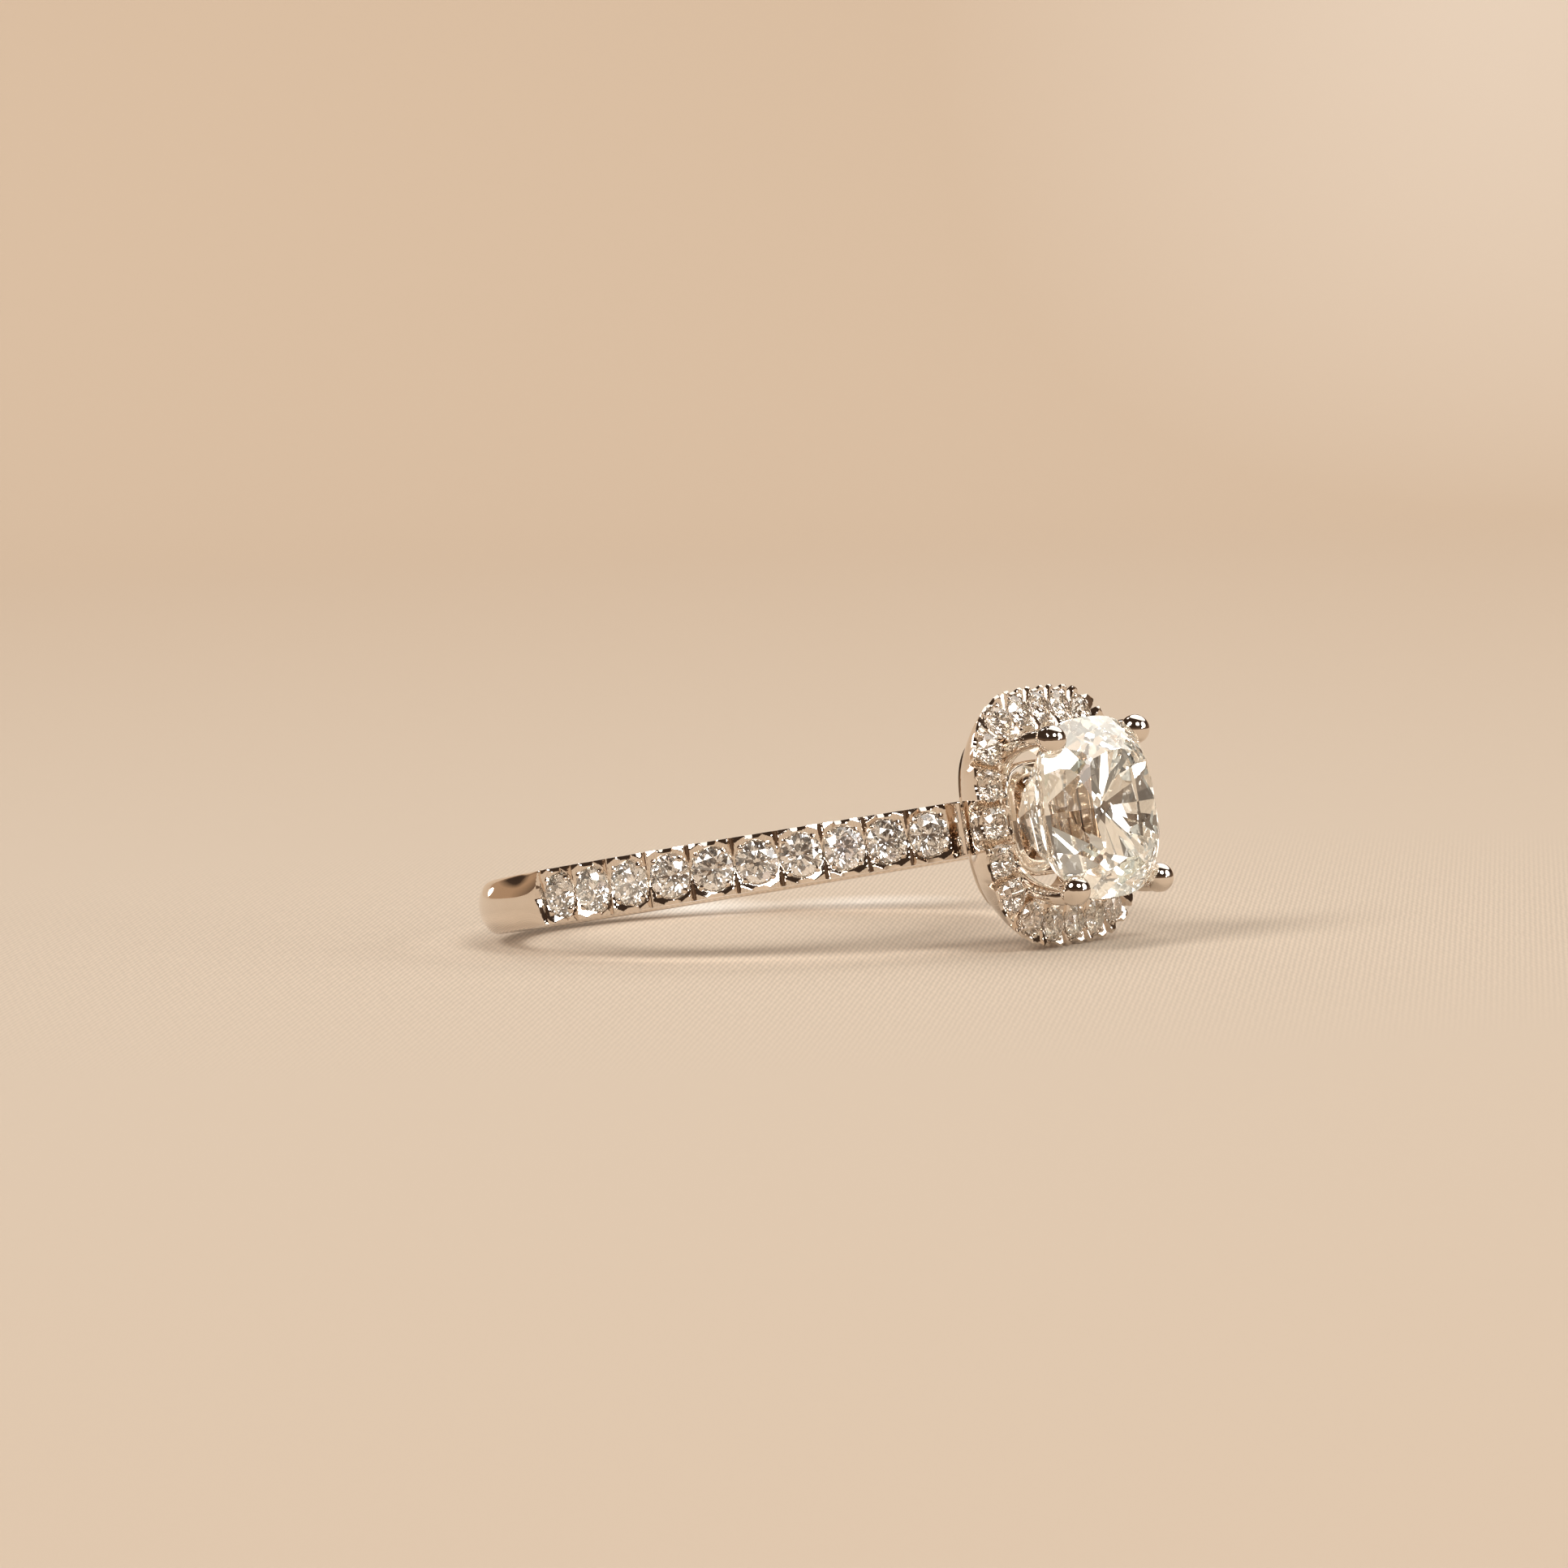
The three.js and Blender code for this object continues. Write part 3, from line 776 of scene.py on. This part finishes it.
centre = {
    "halfAcross": 3.1,
    "halfAlong": 3.04,
    "squareness": 3.0,
    "girdleHeight": 13.85,
    "girdle": 0.1,
    "outlineSides": 96,
    "blankHalf": 4.0,
    "cutTolerance": 1e-6,
    "seed": 5,
    # Each tier runs inwards from one share of the outline to the next, at its slope in degrees. Azimuths
    # are within one eighth of the turn, from a side at 0 to a corner at 45 degrees.
    "crownTiers": [
        {"share": 1.0, "slope": 40.5, "azimuths": (6, 28)},
        {"share": 1.0, "slope": 43.5, "azimuths": (17, 39)},
        {"share": 0.85, "slope": 35.0, "azimuths": (0, 22.5, 45)},
        {"share": 0.68, "slope": 26.0, "azimuths": (11, 34)},
    ],
    "table": 0.57,
    "pavilionTiers": [
        {"share": 1.0, "slope": 46.5, "azimuths": (6, 28)},
        {"share": 1.0, "slope": 49.5, "azimuths": (17, 40)},
        {"share": 0.56, "slope": 44.0, "azimuths": (0, 22.5, 45)},
        {"share": 0.26, "slope": 41.0, "azimuths": (11, 34)},
    ],
}


def outlineReach(azimuth):
    # How far the rounded square reaches in one direction, as a plane touching it would lie.
    power = centre["squareness"] / (centre["squareness"] - 1)
    across = abs(centre["halfAcross"] * math.cos(azimuth)) ** power
    along = abs(centre["halfAlong"] * math.sin(azimuth)) ** power
    return (across + along) ** (1 / power)


def everyEighth(azimuth):
    # The same azimuth in each of the eight mirrored parts of the turn, without doubles.
    turns = {round(quarter * 90 + sign * azimuth, 6) % 360 for quarter in range(4) for sign in (1, -1)}
    return [math.radians(turn) for turn in sorted(turns)]


def centreFacets():
    # Each facet is a plane: a point on it and its outward normal.
    planes = []
    for side, tiers, end in ((1, centre["crownTiers"], centre["table"]), (-1, centre["pavilionTiers"], 0)):
        depth = 0
        for tier, after in zip(tiers, tiers[1:] + [{"share": end}]):
            slope = math.radians(tier["slope"])
            for azimuthDeg in tier["azimuths"]:
                for azimuth in everyEighth(azimuthDeg):
                    reach = outlineReach(azimuth)
                    flat = Vector((math.cos(azimuth), math.sin(azimuth), 0))
                    height = side * (centre["girdle"] / 2 + reach * depth)
                    point = flat * (reach * tier["share"]) + Vector((0, 0, height))
                    planes.append((point, flat * math.sin(slope) + Vector((0, 0, side * math.cos(slope)))))
            depth += (tier["share"] - after["share"]) * math.tan(slope)
        if side > 0:
            top = centre["girdle"] / 2 + centre["halfAcross"] * depth
            planes.append((Vector((0, 0, top)), Vector((0, 0, 1))))
    return planes


def centreMesh():
    # The stone is ground from a blank, one plane at a time, as a cutter's wheel does it.
    sides = centre["outlineSides"]
    angle = np.arange(sides) * 2 * math.pi / sides
    radius = squareReach(angle, centre["squareness"])
    outline = np.stack([centre["halfAcross"] * radius * np.cos(angle),
                        centre["halfAlong"] * radius * np.sin(angle)], -1)
    blank = centre["blankHalf"]
    work = bmesh.new()
    low, high = [[work.verts.new((x, y, height)) for x, y in outline] for height in (-blank, blank)]
    work.faces.new(low[::-1])
    work.faces.new(high)
    for i in range(sides):
        work.faces.new([low[i], low[(i + 1) % sides], high[(i + 1) % sides], high[i]])
    for point, normal in centreFacets():
        geometry = work.verts[:] + work.edges[:] + work.faces[:]
        bmesh.ops.bisect_plane(work, geom=geometry, plane_co=point, plane_no=normal, clear_outer=True,
                               dist=centre["cutTolerance"])
        holes = [edge for edge in work.edges if edge.is_boundary]
        if holes:
            bmesh.ops.holes_fill(work, edges=holes, sides=0)
    bmesh.ops.recalc_face_normals(work, faces=work.faces)
    mesh = bpy.data.meshes.new("centre_diamond_cut")
    work.to_mesh(mesh)
    work.free()
    return mesh


def buildCentre(stoneMaterial):
    mesh = centreMesh()
    giveFire(mesh, centre["seed"])
    place = headPlace @ Matrix.Translation((0, 0, centre["girdleHeight"]))
    finishPiece("centre_diamond_cut", mesh, place, stoneMaterial, "centre_diamond")
    print("centre stone cut with", len(mesh.polygons), "facets")


claws = {
    "footHalf": 1.087,
    "footHeight": 10.4,
    "waist": (2.30, 2.253),
    "bulge": 0.12,
    "bulgeHeight": 13.5,
    "bead": (2.55, 2.52, 14.10),
    "beadDrop": 0.11,
    "shaftRadius": 0.34,
    "neckRadius": 0.27,
    "beadRadius": 0.50,
    "taperRun": 2.4,
    "beadLean": 0.5,
    "domeTurns": np.radians(np.linspace(4, 88, 22)),
    "rows": 150,
    "sides": 48,
    "fit": 0.004,
    "sharpAngle": 40,
}
clawCorners = {
    "claw_upper_left": (1, 1),
    "claw_upper_right": (-1, 1),
    "claw_lower_left": (1, -1),
    "claw_lower_right": (-1, -1),
}


pathSteps = 60  # points between two stops, before the line is walked evenly


def smoothPath(stops, count):
    # A Catmull-Rom line through the stops, walked evenly.
    stops = np.array(stops, float)
    padded = np.concatenate([[2 * stops[0] - stops[1]], stops, [2 * stops[-1] - stops[-2]]])
    fine = []
    for i in range(len(stops) - 1):
        a, b, c, d = padded[i:i + 4]
        t = np.linspace(0, 1, pathSteps, endpoint=False)[:, None]
        fine.append(0.5 * (2 * b + (c - a) * t + (2 * a - 5 * b + 4 * c - d) * t ** 2
                           + (3 * b - a - 3 * c + d) * t ** 3))
    line = np.concatenate(fine + [stops[-1:]])
    run = np.concatenate([[0], np.cumsum(np.linalg.norm(np.diff(line, axis=0), axis=1))])
    place = np.linspace(0, run[-1], count)
    return np.stack([np.interp(place, run, line[:, k]) for k in range(3)], -1)


def tubeRings(path, radii, sides, sideways):
    # Rings round a path; sideways is a direction that never lies along it.
    tangent = unit(np.gradient(path, axis=0))
    first = unit(np.cross(tangent, sideways))
    second = np.cross(tangent, first)
    angle = np.arange(sides) * 2 * math.pi / sides
    circle = (first[:, None, :] * np.cos(angle)[None, :, None]
              + second[:, None, :] * np.sin(angle)[None, :, None])
    return path[:, None, :] + circle * np.reshape(radii, (-1, 1, 1))


def clawMesh(name, across, along):
    beadX, beadY, beadZ = claws["bead"]
    bead = np.array([across * beadX, along * beadY - claws["beadDrop"], beadZ])
    stops = [
        (across * claws["footHalf"], along * claws["footHalf"], claws["footHeight"]),
        (across * claws["waist"][0], along * claws["waist"][1], halo["faceHeight"]),
        (bead[0] + across * claws["bulge"], bead[1] + along * claws["bulge"], claws["bulgeHeight"]),
        tuple(bead),
    ]
    path = smoothPath(stops, claws["rows"])
    toBead = np.linalg.norm(path - bead, axis=1)
    neck, shaft, ball = claws["neckRadius"], claws["shaftRadius"], claws["beadRadius"]
    taper = neck + (shaft - neck) * smoothStep(toBead / claws["taperRun"])
    radii = np.maximum(taper, np.sqrt(np.maximum(ball ** 2 - toBead ** 2, 0)))
    tangent = unit(path[-1] - path[-2])
    inwards = unit(np.array([-across, -along, 0.0]))
    lean = unit(tangent + inwards * claws["beadLean"])
    turns = claws["domeTurns"]
    dome = bead + lean * (ball * np.sin(turns))[:, None]
    path = np.concatenate([path, dome])
    radii = np.concatenate([radii, ball * np.cos(turns)])
    sideways = np.array([-across, along, 0.0]) / math.sqrt(2)
    rings = tubeRings(path, radii, claws["sides"], sideways)
    rings[:, :, 2] = np.maximum(rings[:, :, 2], claws["footHeight"])
    return gridMesh(name, rings, capped=True)


def pressOn(mesh):
    # Every corner that would lie inside the centre stone moves out to just off its nearest facet.
    planes = centreFacets()
    for k in range(centre["outlineSides"]):
        azimuth = 2 * math.pi * k / centre["outlineSides"]
        flat = Vector((math.cos(azimuth), math.sin(azimuth), 0))
        planes.append((flat * outlineReach(azimuth), flat))
    normals = np.array([normal for _, normal in planes])
    offsets = np.sum(np.array([point for point, _ in planes]) * normals, 1)
    corners = np.zeros(len(mesh.vertices) * 3)
    mesh.vertices.foreach_get("co", corners)
    corners = corners.reshape(-1, 3) - np.array([0, 0, centre["girdleHeight"]])
    distance = corners @ normals.T - offsets
    nearest = np.argmax(distance, 1)
    depth = np.take_along_axis(distance, nearest[:, None], 1)
    inside = depth < claws["fit"]
    corners = np.where(inside, corners + normals[nearest] * (claws["fit"] - depth), corners)
    corners[:, 2] += centre["girdleHeight"]
    mesh.vertices.foreach_set("co", corners.ravel())


def buildClaws(gold):
    for node, (across, along) in clawCorners.items():
        mesh = clawMesh(node + "_polished", across, along)
        pressOn(mesh)
        finishPiece(node + "_polished", mesh, headPlace, gold, node, claws["sharpAngle"])
    print("claws made")


frames = {
    "squareness": 3.2,
    "rail": {"half": (1.964, 1.944), "width": 0.55, "depth": 0.45, "bottom": 11.1},
    "base": {"half": (1.7, 1.7), "width": 0.7, "depth": 0.95, "bottom": 9.42},
    "round": 0.14,
    "cornerSteps": 5,
    "segments": 160,
    "sharpAngle": 40,
}


def frameMesh(name, half, width, depth, bottom):
    # A rounded-square wire whose section is a rectangle with soft corners.
    shares = np.arange(frames["segments"]) / frames["segments"]
    middle, _, outward, _ = cushionLine(
        half[0] - width / 2, half[1] - width / 2, frames["squareness"], shares)
    soft = frames["round"]
    section = []
    for quarter, (x, z) in enumerate(((1, 1), (-1, 1), (-1, -1), (1, -1))):
        for step in range(frames["cornerSteps"] + 1):
            turn = math.radians(90 * quarter + 90 / frames["cornerSteps"] * step)
            section.append((x * (width / 2 - soft) + soft * math.cos(turn),
                            z * (depth / 2 - soft) + soft * math.sin(turn)))
    section = np.array(section)
    flat = middle[:, None, :] + outward[:, None, :] * section[None, :, :1]
    height = np.broadcast_to(bottom + depth / 2 + section[None, :, 1:], flat.shape[:2] + (1,))
    return gridMesh(name, np.concatenate([flat, height], -1))


def buildFrames(gold):
    for node, key in (("gallery_rail", "rail"), ("head_base", "base")):
        mesh = frameMesh(node + "_polished", **frames[key])
        finishPiece(node + "_polished", mesh, headPlace, gold, node, frames["sharpAngle"])
    print("rail and base made")


view = {
    "azimuth": 35.11,
    "elevation": 4.17,
    "roll": math.radians(-1.77),
    "distance": 0.295,
    "shiftRight": 0.652 * mm,
    "shiftUp": 2.735 * mm,
    "lens": 198.0,
    "sensorWidth": 36,
    "nearest": 0.01,
    "farthest": 5,
}

studio = {
    "floorFlat": 0.28,
    "floorSides": 144,
    "nearRings": (0.002, 0.06, 12),
    "farRings": (0.08, 0.28, 14),
    "sweepRadius": 0.34,
    "sweepTurn": 48.0,
    "sweepRings": 24,
    "wallAzimuth": 215.0,
    "wallSpread": (14.0, 34.0),
    "clothNear": rgb(0.578, 0.474, 0.372),
    "clothFar": rgb(0.548, 0.421, 0.308),
    "clothGlow": rgb(0.92, 0.87, 0.80),
    "clothRoughness": 0.95,
    "clothSpecular": 0.15,
    "nearEnds": 0.02,
    "farStarts": 0.30,
    # The twill: each thread has its direction in degrees and its share, and slub is the yarn's unevenness.
    "threads": [(38, 0.75), (-52, 0.25)],
    "threadWobble": 2.0,
    "slubScale": 5000.0,
    "slubHeight": 0.6,
    "weavePitch": 0.00014,
    "weaveStretch": 9.0,
    "weaveStrength": 0.4,
    "weaveDepth": 0.00001,
    "weaveShade": 0.42,
    "weaveNear": 0.014,
    "weaveFar": 0.046,
    # Painted pools of light on the cloth and the low wall: aside, behind, half width, half depth and
    # strength.
    "glows": [
        (-0.0024, 0.0112, 0.0032, 0.0044, 0.75),
        (0.0034, 0.0116, 0.0040, 0.0034, 0.5),
        (0.064, 0.45, 0.050, 0.16, 0.28),
    ],
    # Painted light: the cloth glows in a ring under the band, standing in for light the band throws into
    # its shadow.
    "fillRadius": 0.0094,
    "fillWidth": 0.0036,
    "fillStrength": 0.26,
    # The room is dark brown, with a lighter brown curtain low behind the ring.
    "skyLow": rgb(0.150, 0.095, 0.062),
    "skyHigh": rgb(0.050, 0.031, 0.021),
    "skyFade": (0.04, 0.35),
    "curtain": rgb(0.47, 0.30, 0.18),
    "curtainAzimuth": -128.0,
    "curtainSide": (0.60, 0.80),
    "curtainTop": (0.19, 0.27),
}


def clothMaterial():
    # The cloth's own frame has X to the viewer's right and Y away, so that the twill runs across both.
    material, wire = newMaterial("sand_cloth")
    geometry = wire.node("ShaderNodeNewGeometry")
    centred = wire.node("ShaderNodeVectorMath", {"operation": "SUBTRACT"}, {
        0: geometry, 1: (holeMiddle.x, holeMiddle.y, 0)})
    distance = wire.node("ShaderNodeVectorMath", {"operation": "LENGTH"}, {0: centred}, output=1)

    def fading(start, end):
        return ((distance - start) * (1 / (end - start))).clamped()

    sharp = 1 - fading(studio["weaveNear"], studio["weaveFar"])
    facing = wire.node("ShaderNodeMapping", {}, {
        "Vector": centred, "Rotation": (0, 0, math.radians(-view["azimuth"]))})
    squeezed = wire.node("ShaderNodeMapping", {}, {
        "Vector": facing, "Scale": (1, 1 / studio["weaveStretch"], 1)})
    scale = 2 * math.pi / (20 * studio["weavePitch"])  # a wave texture repeats each pi / 10 of its units
    wobble = studio["threadWobble"]
    threads = []
    for degrees, share in studio["threads"]:
        turned = wire.node("ShaderNodeMapping", {}, {
            "Vector": squeezed, "Rotation": (0, 0, math.radians(degrees))})
        thread = wire.node("ShaderNodeTexWave", {"bands_direction": "X"}, {
            "Vector": turned, "Scale": scale, "Distortion": wobble, "Detail": wobble,
            "Detail Scale": wobble}, output=1)
        threads.append(thread * share)
    weave = threads[0] + threads[1]
    slub = wire.node("ShaderNodeTexNoise", {}, {
        "Vector": squeezed, "Scale": studio["slubScale"], "Detail": 3.0})
    bump = wire.node("ShaderNodeBump", {}, {
        "Height": (weave + slub * studio["slubHeight"]) * sharp,
        "Strength": studio["weaveStrength"], "Distance": studio["weaveDepth"]})
    shade = 1 + (weave * 0.6 + slub * 0.4 - 0.5) * sharp * studio["weaveShade"]  # one on average
    colour = fading(studio["nearEnds"], studio["farStarts"]).mix(studio["clothNear"], studio["clothFar"])
    # Each painted pool of light lightens the cloth towards clothGlow.
    for aside, behind, wide, deep, strength in studio["glows"]:
        spot = wire.node("ShaderNodeMapping", {"vector_type": "TEXTURE"}, {
            "Vector": facing, "Location": (aside, behind, 0), "Scale": (wide, deep, 1)})
        fromSpot = wire.node("ShaderNodeVectorMath", {"operation": "LENGTH"}, {0: spot}, output=1)
        colour = ((1 - fromSpot).clamped() * strength).mix(colour, studio["clothGlow"])
    shaded = wire.node("ShaderNodeVectorMath", {"operation": "SCALE"}, {0: colour, "Scale": shade})
    # Painted light: a ring of the cloth's own glow round the band's foot lightens the band's shadow.
    offFoot = (distance - studio["fillRadius"]).absolute()
    fill = (1 - offFoot * (1 / studio["fillWidth"])).clamped()
    paintedFill = wire.node("ShaderNodeVectorMath", {"operation": "SCALE"}, {0: shaded, "Scale": fill})
    output(wire, wire.node("ShaderNodeBsdfPrincipled", {}, {
        "Base Color": shaded,
        "Roughness": studio["clothRoughness"],
        "Specular IOR Level": studio["clothSpecular"],
        "Normal": bump,
        "Emission Color": paintedFill,
        "Emission Strength": studio["fillStrength"],
    }))
    return material


def buildFloor():
    # A round flat floor that curves up into a low wall on the side away from the viewer.
    flat, bend = studio["floorFlat"], studio["sweepRadius"]
    radii = np.concatenate([np.linspace(*studio["nearRings"]), np.linspace(*studio["farRings"])])
    profile = [(r, 0.0) for r in radii]
    for turn in np.linspace(0, studio["sweepTurn"], studio["sweepRings"] + 1)[1:]:
        angle = math.radians(turn)
        profile.append((flat + bend * math.sin(angle), bend * (1 - math.cos(angle))))
    sides = studio["floorSides"]
    angle = np.arange(sides) * 2 * math.pi / sides
    wallMiddle = math.radians(studio["wallAzimuth"] - 90)
    offWall = np.degrees(np.abs(np.angle(np.exp(1j * (angle - wallMiddle)))))
    whole, none = studio["wallSpread"]
    rise = 1 - smoothStep((offWall - whole) / (none - whole))
    points = np.array([[(r * math.cos(a), r * math.sin(a), z * up) for a, up in zip(angle, rise)]
                       for r, z in profile])
    count = len(profile) * sides
    index = np.arange(count).reshape(len(profile), sides)
    quads = np.stack([index[:-1], np.roll(index[:-1], -1, 1), np.roll(index[1:], -1, 1), index[1:]], -1)
    faces = quads.reshape(-1, 4)[:, ::-1].tolist() + [list(range(sides))]
    mesh = bpy.data.meshes.new("cloth_floor")
    mesh.from_pydata(points.reshape(-1, 3).tolist(), [], faces)
    mesh.materials.append(clothMaterial())
    mesh.shade_smooth()
    floor = bpy.data.objects.new("cloth_floor", mesh)
    bpy.context.scene.collection.objects.link(floor)
    print("floor made")


def directionOf(azimuth, elevation):
    a, e = math.radians(azimuth), math.radians(elevation)
    return Vector((math.sin(a) * math.cos(e), -math.cos(a) * math.cos(e), math.sin(e)))


def buildSky():
    world = bpy.data.worlds.new("studio")
    bpy.context.scene.world = world
    world.use_nodes = True
    tree = world.node_tree
    tree.nodes.clear()
    wire = Wire(tree)
    direction = wire.node("ShaderNodeTexCoord", output=0)
    height = wire.node("ShaderNodeSeparateXYZ", {}, {0: direction}, output=2)
    fadeStart, fadeEnd = studio["skyFade"]
    low, high = studio["skyLow"], studio["skyHigh"]
    sky = height.ramp([(0.0, low), (fadeStart, low), (fadeEnd, high), (1.0, high)], "EASE")
    middle = tuple(directionOf(studio["curtainAzimuth"], 0))
    facing = wire.node("ShaderNodeVectorMath", {"operation": "DOT_PRODUCT"}, {
        0: direction, 1: middle}, output=1)
    black, white = rgb(0, 0, 0), rgb(1, 1, 1)
    inside = facing.ramp(list(zip(studio["curtainSide"], (black, white))))
    below = height.ramp(list(zip(studio["curtainTop"], (white, black))))
    colour = (inside * below).mix(sky, studio["curtain"])
    background = wire.node("ShaderNodeBackground", {}, {"Color": colour})
    wire.node("ShaderNodeOutputWorld", {}, {"Surface": background})


# Each lamp is a soft disc: azimuth round the ring from the -Y side and elevation above the floor, both in
# degrees, then distance and width in metres, power in watts, and colour.
lamps = {
    "left_window": (-18, 42, 2.0, 0.92, 23.0, (1.0, 0.975, 0.94)),
    "right_window": (62, 42, 2.0, 0.86, 18.0, (1.0, 0.98, 0.95)),
    "far_screen": (114, 26, 2.0, 1.3, 13.0, (1.0, 0.975, 0.94)),
    "back_screen": (186, 56, 2.0, 2.5, 24.0, (1.0, 0.965, 0.92)),
    "right_spark": (94, 9, 2.0, 0.26, 4.0, (1.0, 0.98, 0.95)),
    "left_card": (-106, 48, 2.0, 0.36, 1.2, (1.0, 0.97, 0.93)),
    "low_card": (-116, 4, 0.55, 0.06, 0.05, (1.0, 0.97, 0.93)),
    "high_card": (-145, 46, 2.0, 0.85, 1.9, (1.0, 0.96, 0.91)),
}


def buildLamps():
    for name, (azimuth, elevation, distance, width, power, colour) in lamps.items():
        data = bpy.data.lights.new(name, "AREA")
        data.shape = "DISK"
        data.size = width
        data.energy = power
        data.color = colour
        light = bpy.data.objects.new(name, data)
        direction = directionOf(azimuth, elevation)
        light.location = holeMiddle + direction * distance
        light.rotation_mode = "QUATERNION"
        light.rotation_quaternion = direction.to_track_quat("Z", "Y")
        bpy.context.scene.collection.objects.link(light)


def buildCamera():
    data = bpy.data.cameras.new("camera")
    data.lens = view["lens"]
    data.sensor_width = view["sensorWidth"]
    data.clip_start = view["nearest"]
    data.clip_end = view["farthest"]
    camera = bpy.data.objects.new("camera", data)
    back = directionOf(view["azimuth"], view["elevation"])
    level = directionOf(view["azimuth"] + 90, 0)
    raised = back.cross(level)
    cosRoll, sinRoll = math.cos(view["roll"]), math.sin(view["roll"])
    right = level * cosRoll + raised * sinRoll
    up = raised * cosRoll - level * sinRoll
    turned = Matrix((right, up, back)).transposed().to_4x4()
    spot = holeMiddle + right * view["shiftRight"] + up * view["shiftUp"] + back * view["distance"]
    camera.matrix_world = Matrix.Translation(spot) @ turned
    bpy.context.scene.collection.objects.link(camera)
    bpy.context.scene.camera = camera


tone = {
    "bounces": 24,
    "glossyBounces": 14,
    "transmissionBounces": 18,
}


def setTone():
    # Light runs to and fro in the stones, so it needs more bounces than usual.
    scene = bpy.context.scene
    scene.view_settings.view_transform = "Standard"
    scene.view_settings.look = "None"
    scene.cycles.max_bounces = tone["bounces"]
    scene.cycles.glossy_bounces = tone["glossyBounces"]
    scene.cycles.transmission_bounces = tone["transmissionBounces"]


gold = whiteGold()
smallStone = diamond("small_stone_cut", "small")
centreStone = diamond("centre_stone_cut", "centre")
buildBand(gold, smallStone)
buildHalo(gold, smallStone)
buildCentre(centreStone)
buildClaws(gold)
buildFrames(gold)
buildFloor()
buildSky()
buildLamps()
buildCamera()
setTone()
print("studio ready")
